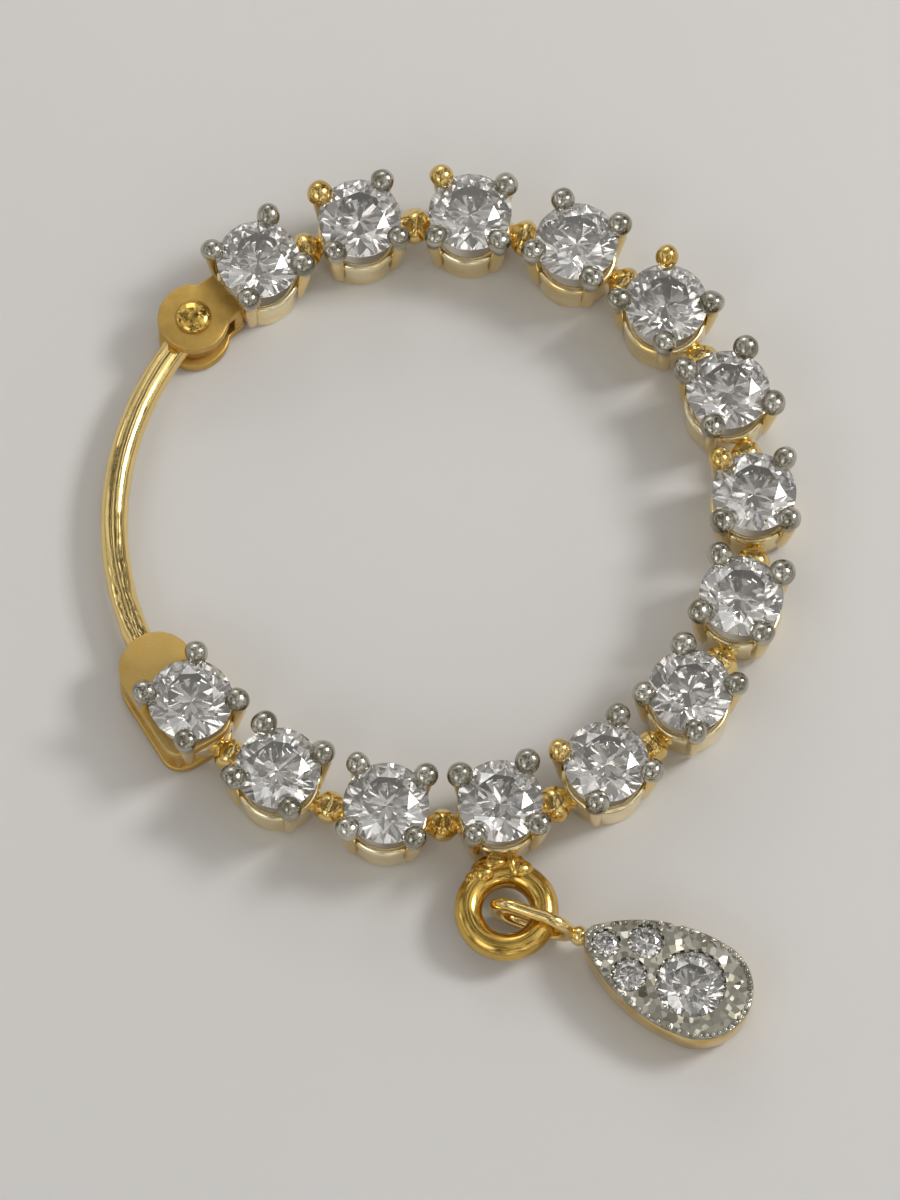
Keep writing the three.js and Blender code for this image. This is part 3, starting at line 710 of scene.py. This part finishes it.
def cut_stone(diameter):
    """A round brilliant: a round blank sawn by the plane of each facet, its girdle at height 0."""
    half, crown, pavilion = 0.015 * diameter, 0.15 * diameter, 0.42 * diameter
    radius, depth = diameter / 2, 2 * half + crown + pavilion
    bm = bmesh.new()
    bmesh.ops.create_cone(bm, cap_ends=True, segments=64, radius1=radius, radius2=radius, depth=depth,
                          matrix=moved_by(0, 0, (crown - pavilion) / 2))
    for a, b, c in brilliant_planes(radius, half, crown, pavilion):
        normal = (b - a).cross(c - a).normalized()
        if normal.dot(a) < 0:
            normal.negate()
        cut = bmesh.ops.bisect_plane(bm, geom=bm.verts[:] + bm.edges[:] + bm.faces[:], dist=1e-8,
                                     plane_co=a, plane_no=normal, clear_outer=True)
        rim = [e for e in cut["geom_cut"] if isinstance(e, bmesh.types.BMEdge)]
        if len(rim) > 2:
            bmesh.ops.contextual_create(bm, geom=rim)
    return tidied(bm)


class NOSE_RING_OT_stones(bpy.types.Operator):
    """The round stones of the row and of the pear"""
    bl_idname = "nose_ring.stones"
    bl_label = "Stones"

    def execute(self, context):
        sizes = context.scene.nose_ring_baskets
        dice = random.Random(71)
        for node in ROW + DROP_STONES:
            tilt = turned_by(math.radians(dice.uniform(-1.6, 1.6)), 'X') \
                @ turned_by(math.radians(dice.uniform(-1.6, 1.6)), 'Y')
            spin = turned_by(dice.uniform(0, math.pi / 4))
            shape = cut_stone(sizes.stone if node in ROW else cad_diameter(node))
            piece("cut_" + node, moved(shape, girdle_place(node) @ tilt @ spin), "clear stone",
                  nodes=(node,), crease=0)
        return {'FINISHED'}


def softened(bm, edges, offset, segments):
    bmesh.ops.bevel(bm, geom=edges, offset=offset, offset_type='OFFSET', segments=segments, profile=0.5,
                    affect='EDGES', material=-1, clamp_overlap=True)
    return tidied(bm)


def keyhole(radius, neck, reach, low, high, corner=0.02 * MM):
    """A round plate that runs on to +X as a neck with round corners, between two heights, with soft edges."""
    bm = bmesh.new()
    bmesh.ops.create_circle(bm, cap_ends=True, radius=radius, segments=96)
    for point in bm.verts:
        if point.co.x > 0 and abs(point.co.y) < neck / 2:
            past = max(0, abs(point.co.y) - (neck / 2 - corner)) / corner
            point.co.x = reach - corner * (1 - math.sqrt(1 - past * past))
        point.co.z = low
    raised = bmesh.ops.extrude_face_region(bm, geom=bm.faces[:])
    bmesh.ops.translate(bm, verts=[v for v in raised["geom"] if isinstance(v, bmesh.types.BMVert)],
                        vec=Z * (high - low))
    bmesh.ops.recalc_face_normals(bm, faces=bm.faces)
    rims = [e for e in bm.edges if abs(e.verts[0].co.z - e.verts[1].co.z) < 1e-9]
    return softened(bm, rims, 0.06 * MM, 3)


def slug(low, high, bevel=0.05 * MM):
    """A small block between two corners, with soft edges, as part of a soldered piece."""
    low, high = Vector(low), Vector(high)
    bm = bmesh.new()
    bmesh.ops.create_cube(bm, size=1, matrix=Matrix.Translation((low + high) / 2)
                          @ Matrix.Diagonal((*(high - low), 1)))
    return softened(bm, bm.edges[:], bevel, 2)


def plate_heights(sizes):
    """The heights of the lower plate's foot and top, and of the upper plate's foot and top."""
    half = sizes.wire / 2 + sizes.clearance
    low, high = sizes.wire_height - half, sizes.wire_height + half
    return low - sizes.plate, low, high, high + sizes.plate


class NOSE_RING_OT_hinge(bpy.types.Operator):
    """The two hinge plates on the first basket, and the rivet with its round head"""
    bl_idname = "nose_ring.hinge"
    bl_label = "Hinge"

    def execute(self, context):
        sizes, baskets = context.scene.nose_ring_hinge, context.scene.nose_ring_baskets
        foot, low, high, head = plate_heights(sizes)
        first = basket_place(BASKETS[0])
        centre = Vector((HINGE.x, HINGE.y, 0))
        reach = (first - centre).length - baskets.collet_top + 0.1 * MM
        place = Matrix.Translation(centre) @ turned_by(heading(first - centre))
        bm = bmesh.new()
        for bottom, top in ((foot, low), (high, head)):
            joined(bm, keyhole(sizes.ear, sizes.ear_neck, reach, bottom, top), place)
        room, half = 1.0 * MM + sizes.clearance, sizes.ear_neck / 2 - 0.02 * MM
        joined(bm, slug((room, -half, low - SUNK), (reach, half, high + SUNK), 0.03 * MM), place)
        uneven(bm.verts, 0.9 * MM, 0.03 * MM, 2.0)
        plates = piece("hinge_plates", bm, "hinge gold")
        carved(plates, [round_cutter(sizes.rivet - 0.02 * MM, centre)])

        rivet, wide, rise = sizes.rivet, sizes.rivet_head, sizes.rivet_rise
        dome = [(wide * math.sin(math.radians(a)), head + 0.03 * MM + rise * math.cos(math.radians(a)))
                for a in (0, 15, 30, 45, 58, 70, 80, 88)]
        dome += [(wide - 0.03 * MM, head + 0.005 * MM), (rivet, head + 0.005 * MM)]
        heel = [(rivet, foot + 0.06 * MM), (rivet - 0.05 * MM, foot + 0.01 * MM), (0, foot + 0.005 * MM)]
        piece("rivet", moved(turned(dome + heel, 48), Matrix.Translation(centre)), "rivet gold",
              nodes=("hinge_rivet",))
        return {'FINISHED'}


class NOSE_RING_OT_catch(bpy.types.Operator):
    """The slotted catch at the last basket"""
    bl_idname = "nose_ring.catch"
    bl_label = "Catch"

    def execute(self, context):
        sizes, baskets = context.scene.nose_ring_hinge, context.scene.nose_ring_baskets
        foot, low, high, head = plate_heights(sizes)
        angle = catch_angle(sizes, baskets)
        place = Matrix.Translation(on_circle(sizes.wire_circle, angle)) @ turned_by(angle + math.pi / 2)
        reach = baskets.collet_top + sizes.wire_end_gap + sizes.jaw_run
        bm = bmesh.new()
        for bottom, top in ((foot, low), (high, head)):
            joined(bm, keyhole(sizes.jaw, 2 * sizes.jaw * 0.999, reach, bottom, top, 0.7 * MM), place)
        low, high = low - SUNK, high + SUNK
        inner = sizes.jaw - sizes.jaw_wall
        web = slug((-sizes.jaw * 0.5, inner, low), (reach - 0.38 * MM, sizes.jaw - 0.1 * MM, high))
        block = slug((sizes.wire_end_gap, -sizes.jaw + 0.3 * MM, low),
                     (reach - 0.16 * MM, inner + 0.1 * MM, high))
        joined(bm, web, place)
        joined(bm, block, place)
        uneven(bm.verts, 0.8 * MM, 0.03 * MM, 5.0)
        plates = piece("catch_plates", bm, "satin gold")
        collet = round_cutter(baskets.collet_top - baskets.collet_wall / 2, basket_place(BASKETS[-1]))
        carved(plates, [collet])
        return {'FINISHED'}


def round_end(bm, rim, centre, along, radius):
    """Closes a round wire's open rim with a low dome."""
    for now, then in zip((0, 22, 42, 60, 74), (22, 42, 60, 74, 84)):
        now, then = math.radians(now), math.radians(then)
        step = along * radius * 0.6 * (math.sin(then) - math.sin(now))
        grown = bmesh.ops.extrude_edge_only(bm, edges=rim)["geom"]
        points = [v for v in grown if isinstance(v, bmesh.types.BMVert)]
        rim = [e for e in grown if isinstance(e, bmesh.types.BMEdge) and all(v in points for v in e.verts)]
        centre = centre + step
        bmesh.ops.translate(bm, verts=points, vec=step)
        bmesh.ops.scale(bm, verts=points, vec=(math.cos(then) / math.cos(now),) * 3,
                        space=Matrix.Translation(-centre))
    bmesh.ops.contextual_create(bm, geom=rim)


class NOSE_RING_OT_ear_wire(bpy.types.Operator):
    """The round wire that closes the hoop, with its flat eye"""
    bl_idname = "nose_ring.ear_wire"
    bl_label = "Ear wire"

    def execute(self, context):
        sizes, baskets = context.scene.nose_ring_hinge, context.scene.nose_ring_baskets
        half, circle = sizes.wire / 2, sizes.wire_circle
        start = heading(HINGE - HOOP) % FULL_TURN + 0.7 * MM / circle
        end = catch_angle(sizes, baskets) % FULL_TURN - 0.6 * half / circle
        bm = bmesh.new()
        bmesh.ops.create_circle(bm, radius=half, segments=28,
                                matrix=Matrix.Translation(on_circle(circle, start, sizes.wire_height))
                                @ turned_by(start) @ turned_by(math.pi / 2, 'X'))
        first = bm.edges[:]
        swept = bmesh.ops.spin(bm, geom=bm.verts[:] + first, cent=HOOP, axis=Z, angle=end - start, steps=110)
        rim = [e for e in swept["geom_last"] if isinstance(e, bmesh.types.BMEdge)]
        bmesh.ops.contextual_create(bm, geom=first)
        tail = on_circle(circle, end, sizes.wire_height)
        round_end(bm, rim, tail, Z.cross(tail - HOOP).normalized(), half)
        tidied(bm)
        for point in bm.verts:
            angle = heading(point.co - HOOP) % FULL_TURN
            near_end = max(0.0, 1 - (end - angle) * circle / (4.5 * MM))
            point.co += noise.noise_vector(point.co / (0.4 * MM)) * (0.006 + 0.055 * near_end) * MM
        piece("ear_wire_round", bm, "wire gold", nodes=("ear_wire",), body="wire")

        # The eye's dark finish is painted shade, so that the slot between the hinge plates looks shaded
        hole, edge, soft = sizes.rivet + sizes.clearance, sizes.eye, 0.08 * MM
        eye = turned([(hole, -half + 0.02 * MM), (edge - soft, -half), (edge, -half + soft),
                      (edge, half - soft), (edge - soft, half), (hole, half - 0.02 * MM)], 64, ring=True)
        piece("ear_wire_eye", moved(eye, moved_by(HINGE.x, HINGE.y, sizes.wire_height)), "eye gold",
              nodes=("ear_wire",), body="wire")
        return {'FINISHED'}


SOLDER = (  # millimetres from the drop ring's middle: inwards, across and up; then half sizes the same ways
    ((1.4, 0.0, -0.05), (0.46, 0.86, 0.52)),
    ((1.2, 0.5, 0.2), (0.36, 0.38, 0.38)),
    ((1.12, -0.62, 0.2), (0.32, 0.4, 0.36)),
    ((1.45, 0.12, 0.3), (0.3, 0.42, 0.32)),
    ((1.35, -0.4, 0.36), (0.42, 0.17, 0.24)),
    ((1.05, 0.85, 0.12), (0.3, 0.26, 0.3)),
)


def drop_ring_place(context):
    """The middle of the drop ring, and its direction from the hoop's middle."""
    baskets, drop = context.scene.nose_ring_baskets, context.scene.nose_ring_drop
    place = basket_place(drop.basket)
    angle = heading(place - HOOP) + drop.ring_turn
    radius = (place - HOOP).length + baskets.collet_top + drop.ring_standoff + drop.ring
    return on_circle(radius, angle, drop.ring_height), angle


class NOSE_RING_OT_drop_ring(bpy.types.Operator):
    """The thick ring that the drop hangs from, soldered to its basket"""
    bl_idname = "nose_ring.drop_ring"
    bl_label = "Drop ring"

    def execute(self, context):
        sizes = context.scene.nose_ring_drop
        centre, angle = drop_ring_place(context)
        thick = sizes.ring_wire / 2
        ring = turned(arc(sizes.ring - thick, 0, thick, 0, 348, 29), 96, ring=True)
        uneven(ring.verts, 1.2 * MM, 0.02 * MM, 8.0)
        piece("drop_ring", moved(ring, Matrix.Translation(centre)), "ring gold")

        solder = bmesh.new()
        inward = Matrix.Translation(centre) @ turned_by(angle + math.pi)
        for place, half_sizes in SOLDER:
            shape = Matrix.Diagonal((*(Vector(half_sizes) * MM), 1))
            points = joined(solder, ball(1, 4), inward @ Matrix.Translation(Vector(place) * MM) @ shape)
            uneven(points, 0.5 * MM, 0.035 * MM, place[0] * 9)
        piece("ring_solder", solder, "ring gold")
        return {'FINISHED'}


def drop_places(context):
    """Places of the ball, and of the pear with its tip at the origin and its round end along +X."""
    drop = context.scene.nose_ring_drop
    ring, _ = drop_ring_place(context)
    run = drop.bail_length - drop.bail_back - drop.bail_wire / 2
    ball_place = ring + turned_by(drop.bail_angle) @ Vector((run, 0, 0))
    tip = ball_place + turned_by(drop.pear_angle) @ Vector((drop.pear_start, 0, 0))
    tip.z = 0
    return ball_place, Matrix.Translation(tip) @ turned_by(drop.pear_angle)


class NOSE_RING_OT_bail(bpy.types.Operator):
    """The long loop through the drop ring, and the ball at the pear's tip"""
    bl_idname = "nose_ring.bail"
    bl_label = "Bail"

    def execute(self, context):
        sizes = context.scene.nose_ring_drop
        ball_place, _ = drop_places(context)
        bend = sizes.ring_wire / 2 + sizes.bail_clearance + sizes.bail_wire / 2
        straight = sizes.bail_length - sizes.bail_wire - 2 * bend - sizes.neck
        near, far = (-bend, 0, 0), (-bend - straight, 0, 0)
        bm = bmesh.new()
        bmesh.ops.create_circle(bm, radius=sizes.bail_wire / 2, segments=20)
        geometry = bm.verts[:] + bm.edges[:]
        for centre, turn, travel, steps in ((near, math.pi / 2, 0, 14), (near, 0, -straight, 10),
                                            (far, math.pi, 0, 28), (far, 0, straight, 10),
                                            (near, math.pi / 2, 0, 14)):
            swept = bmesh.ops.spin(bm, geom=geometry, cent=centre, axis=(0, -1, 0), angle=turn, steps=steps,
                                   dvec=(travel / steps, 0, 0))
            geometry = swept["geom_last"]
        tidied(bm)
        uneven(bm.verts, 0.7 * MM, 0.02 * MM, 3.0)
        moved(bm, moved_by(-sizes.neck, 0))
        joined(bm, ball(sizes.ball, 4))
        place = Matrix.Translation(ball_place) @ turned_by(sizes.bail_angle)
        # painted light: the bail and ball take the paler wire gold to look lit, though the pear shades them
        piece("bail_loop", moved(bm, place), "wire gold", nodes=("drop_setting",))
        return {'FINISHED'}


def pear_rings(sizes, rings):
    """A closed shape lofted through pear outlines, each given by its inset and height.

    The pear's blunt tip is near X = 0 and its round end lies along +X.
    """
    side, end = sizes.pear_side, sizes.pear_width / 2
    centre = sizes.pear_length - end
    along = (side ** 2 - (side - end) ** 2 + centre ** 2) / (2 * centre)
    across = math.sqrt(side ** 2 - along ** 2)
    tip = along - math.sqrt((side - sizes.pear_tip) ** 2 - across ** 2)
    tip_angle, end_angle = math.atan2(across, tip - along), math.atan2(across, centre - along)
    half_tip, flank = math.pi - tip_angle, tip_angle - end_angle
    turns = (((tip, 0, 0), half_tip, 8), ((along, across, 0), flank, 24), ((centre, 0, 0), 2 * end_angle, 44),
             ((along, -across, 0), flank, 24), ((tip, 0, 0), half_tip, 8))
    bm = bmesh.new()
    loops = []
    for inset, height in rings:
        point = bm.verts.new((tip - sizes.pear_tip + inset, 0, height))
        known = set(bm.edges)
        geometry = [point]
        for centre_point, turn, steps in turns:
            spun = bmesh.ops.spin(bm, geom=geometry, cent=centre_point, axis=Z, angle=turn, steps=steps)
            geometry = [v for v in spun["geom_last"] if isinstance(v, bmesh.types.BMVert)]
        bmesh.ops.weld_verts(bm, targetmap={geometry[0]: point})
        loops.append([e for e in bm.edges if e not in known])
    for lower, upper in zip(loops, loops[1:]):
        bmesh.ops.bridge_loops(bm, edges=lower + upper)
    bmesh.ops.contextual_create(bm, geom=loops[0])
    bmesh.ops.contextual_create(bm, geom=loops[-1])
    return tidied(bm)


def outline_points(sizes, inset):
    """Points along the pear's outline, drawn in by an inset, in order, at height 0."""
    bm = pear_rings(sizes, [(inset, 0), (inset, 1 * MM)])
    line = [v.co.copy() for v in bm.verts if v.co.z < 0.5 * MM]
    bm.free()
    return sorted(line, key=lambda point: math.atan2(point.y, point.x - sizes.pear_length * 0.6))


def stone_circle(node):
    """The middle of a stone and its radius, seen from above."""
    low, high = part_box(node)
    return Vector(((low.x + high.x) / 2, (low.y + high.y) / 2, 0)), (high.x - low.x) / 2


def clear_of_stones(point, gap):
    """Whether a point in the pear's bed lies outside all its stones."""
    for node in DROP_STONES:
        centre, radius = stone_circle(node)
        if (point - centre).xy.length < radius + gap:
            return False
    return True


def stone_seat(node):
    """A cutting body that makes room for a stone of the pear."""
    diameter = cad_diameter(node)
    radius, above = diameter / 2 + 0.03 * MM, 0.3 * diameter
    shape = turned([(0, -GIRDLE_HEIGHT * diameter - 0.03 * MM), (radius, -0.02 * diameter),
                    (radius, above), (0, above)], 48)
    return new_object("cutter", moved(shape, girdle_place(node)))


def grain_spots(sizes, place):
    """The middle and radius of each grain: rows along the rim and in the bed, and one round each stone."""
    rim, bed = sizes.pear_height, sizes.pear_height - sizes.bed_depth
    spots = []
    for inset, apart, radius, height in ((0.1, 0.18, 0.085, rim), (0.29, 0.25, 0.12, bed + 0.05 * MM),
                                         (0.52, 0.3, 0.1, bed + 0.05 * MM)):
        travelled, last = 0.0, None
        for point in outline_points(sizes, inset * MM):
            travelled += (point - last).length if last else 1
            last = point
            if travelled > apart * MM:
                travelled = 0.0
                spots.append((place @ (point + Z * height), radius * MM))
    dice = random.Random(3)
    for node in DROP_STONES:
        centre, radius = stone_circle(node)
        edge = radius + 0.06 * MM
        count = round(FULL_TURN * edge / (0.3 * MM))
        for step in range(count):
            angle = FULL_TURN * (step + dice.uniform(-0.15, 0.15)) / count
            out = edge * Vector((math.cos(angle), math.sin(angle), 0))
            spots.append((centre + out + Z * (bed + 0.08 * MM), sizes.grain * dice.uniform(0.75, 1.1)))
    return [spot for spot in spots if clear_of_stones(spot[0], 0.02 * MM)]


class NOSE_RING_OT_pear(bpy.types.Operator):
    """The pear's yellow cup and its grey-white top with grains and a beaded rim"""
    bl_idname = "nose_ring.pear"
    bl_label = "Pear"

    def execute(self, context):
        sizes = context.scene.nose_ring_drop
        _, place = drop_places(context)
        rim = sizes.pear_height / MM
        bed = rim - sizes.bed_depth / MM
        cup = ((0.34, 0), (0.2, 0.03), (0.1, 0.14), (0.04, 0.45), (0.005, 1.0), (0.0, rim - 0.18),
               (0.02, rim - 0.15), (0.085, rim - 0.16), (0.1, 0.42))  # inset and height, in millimetres
        top = ((0.11, 0.4), (0.105, rim - 0.145), (0.0, rim - 0.14), (-0.002, rim - 0.12),
               (-0.002, rim - 0.05), (0.02, rim - 0.01), (0.06, rim), (0.14, rim), (0.175, rim - 0.03),
               (0.19, bed))
        cup, top = ([(inset * MM, height * MM) for inset, height in rings] for rings in (cup, top))
        piece("pear_cup", moved(pear_rings(sizes, cup), place), "polished gold", nodes=("drop_setting",))
        pave = piece("pear_top", moved(pear_rings(sizes, top), place), "pave", nodes=("drop_setting",),
                     crease=35)
        carved(pave, [stone_seat(node) for node in DROP_STONES])

        grains, grain = bmesh.new(), ball(1, 2)
        for point, radius in grain_spots(sizes, place):
            shape = Matrix.Diagonal((radius, radius, radius * 0.85, 1))
            stamped(grains, grain, [Matrix.Translation(point) @ shape])
        grain.free()
        piece("pear_grains", grains, "rhodium", nodes=("drop_setting",))
        return {'FINISHED'}


# Stage

def lay_floor():
    floor = bmesh.new()
    bmesh.ops.create_grid(floor, x_segments=1, y_segments=1, size=1.5)
    ground = new_object("floor", floor)
    ground.data.materials.append(finish("pale floor"))


def hang_lamp(name, power, extent, centre, offset):
    """A square soft light that faces the ring."""
    lamp = bpy.data.lights.new(name, 'AREA')
    lamp.shape, lamp.size, lamp.energy = 'SQUARE', extent, power
    light = bpy.data.objects.new(name, lamp)
    bpy.context.scene.collection.objects.link(light)
    light.location = centre + Vector(offset)
    light.rotation_euler = (centre - light.location).to_track_quat('-Z', 'Y').to_euler()


def light_room(scene, sky):
    """A soft room with wide and small bright panels, over a plain horizon."""
    scene.world = bpy.data.worlds.new("soft room")
    scene.world.use_nodes = True
    shading = Shading(scene.world.node_tree, "Generated")
    wide = shading.ranged(shading.cloudy(3.0, 0.5), 0.42, 0.6, sky * 0.2, sky * 1.6)
    small = shading.ranged(shading.cloudy(10.0, 0.0), 0.66, 0.7, 0, sky * 3.5)
    panels = shading.node("Math", {0: wide, 1: small}, operation='ADD').outputs["Value"]
    height = shading.node("SeparateXYZ", {"Vector": shading.place}).outputs["Z"]
    strength = shading.node("Mix", {"Factor": shading.ranged(height, 0.12, 0.3), "A": sky * 0.8, "B": panels})
    shading.feed(scene.world.node_tree.nodes["Background"],
                 {"Color": (1.0, 0.985, 0.96, 1), "Strength": strength.outputs["Result"]})


def set_camera(scene, stage, centre):
    """The camera at its place, tipped from straight down and then turned to face the ring."""
    lens = bpy.data.cameras.new("camera")
    lens.lens, lens.sensor_width, lens.clip_start = stage.lens, 36, 0.01
    camera = bpy.data.objects.new("camera", lens)
    scene.collection.objects.link(camera)
    camera.location = HOOP + Vector(stage.camera)
    tipped = Matrix.Rotation(stage.tilt, 3, 'X')
    aim = (tipped @ Vector((0, 0, -1))).rotation_difference(centre - camera.location)
    camera.rotation_euler = (aim.to_matrix() @ tipped).to_euler()
    scene.camera = camera


class NOSE_RING_OT_stage(bpy.types.Operator):
    """A pale floor, soft studio light and the camera"""
    bl_idname = "nose_ring.stage"
    bl_label = "Stage"

    def execute(self, context):
        stage = context.scene.nose_ring_stage
        low, high = CAD_BOX
        centre = Vector([(a + b) / 2 for a, b in zip(low, high)])
        lay_floor()
        hang_lamp("key light", stage.key_power, 0.07, centre, (0.175, 0.055, 0.185))
        hang_lamp("fill light", stage.fill_power, 0.14, centre, (-0.16, -0.2, 0.24))
        hang_lamp("back light", stage.fill_power * 0.8, 0.1, centre, (-0.05, 0.24, 0.16))
        light_room(context.scene, stage.sky)
        context.scene.view_settings.view_transform = 'Standard'
        set_camera(context.scene, stage, centre)
        return {'FINISHED'}


OPERATORS = (NOSE_RING_OT_stage, NOSE_RING_OT_collets, NOSE_RING_OT_prongs, NOSE_RING_OT_links,
             NOSE_RING_OT_hinge, NOSE_RING_OT_catch, NOSE_RING_OT_ear_wire, NOSE_RING_OT_drop_ring,
             NOSE_RING_OT_bail, NOSE_RING_OT_pear, NOSE_RING_OT_stones)
SETTINGS = {
    "nose_ring_baskets": NoseRingBaskets,
    "nose_ring_hinge": NoseRingHinge,
    "nose_ring_drop": NoseRingDrop,
    "nose_ring_finish": NoseRingFinish,
    "nose_ring_stage": NoseRingStage,
}


class NOSE_RING_PT_panel(bpy.types.Panel):
    """The pieces of the nose ring and their settings"""
    bl_label = "Nose Ring"
    bl_idname = "NOSE_RING_PT_panel"
    bl_space_type = 'VIEW_3D'
    bl_region_type = 'UI'
    bl_category = "Nose Ring"

    def draw(self, context):
        for operator in OPERATORS:
            self.layout.operator(operator.bl_idname)
        for settings in SETTINGS:
            column = self.layout.column()
            group = getattr(context.scene, settings)
            for name in group.__annotations__:
                column.prop(group, name)


def register():
    for name, group in SETTINGS.items():
        bpy.utils.register_class(group)
        setattr(bpy.types.Scene, name, PointerProperty(type=group))
    for cls in (*OPERATORS, NOSE_RING_PT_panel):
        bpy.utils.register_class(cls)


def unregister():
    for cls in reversed((*OPERATORS, NOSE_RING_PT_panel)):
        bpy.utils.unregister_class(cls)
    for name, group in SETTINGS.items():
        delattr(bpy.types.Scene, name)
        bpy.utils.unregister_class(group)


def main():
    register()
    for operator in OPERATORS:
        group, name = operator.bl_idname.split(".")
        getattr(getattr(bpy.ops, group), name)()


if __name__ == "__main__":
    main()
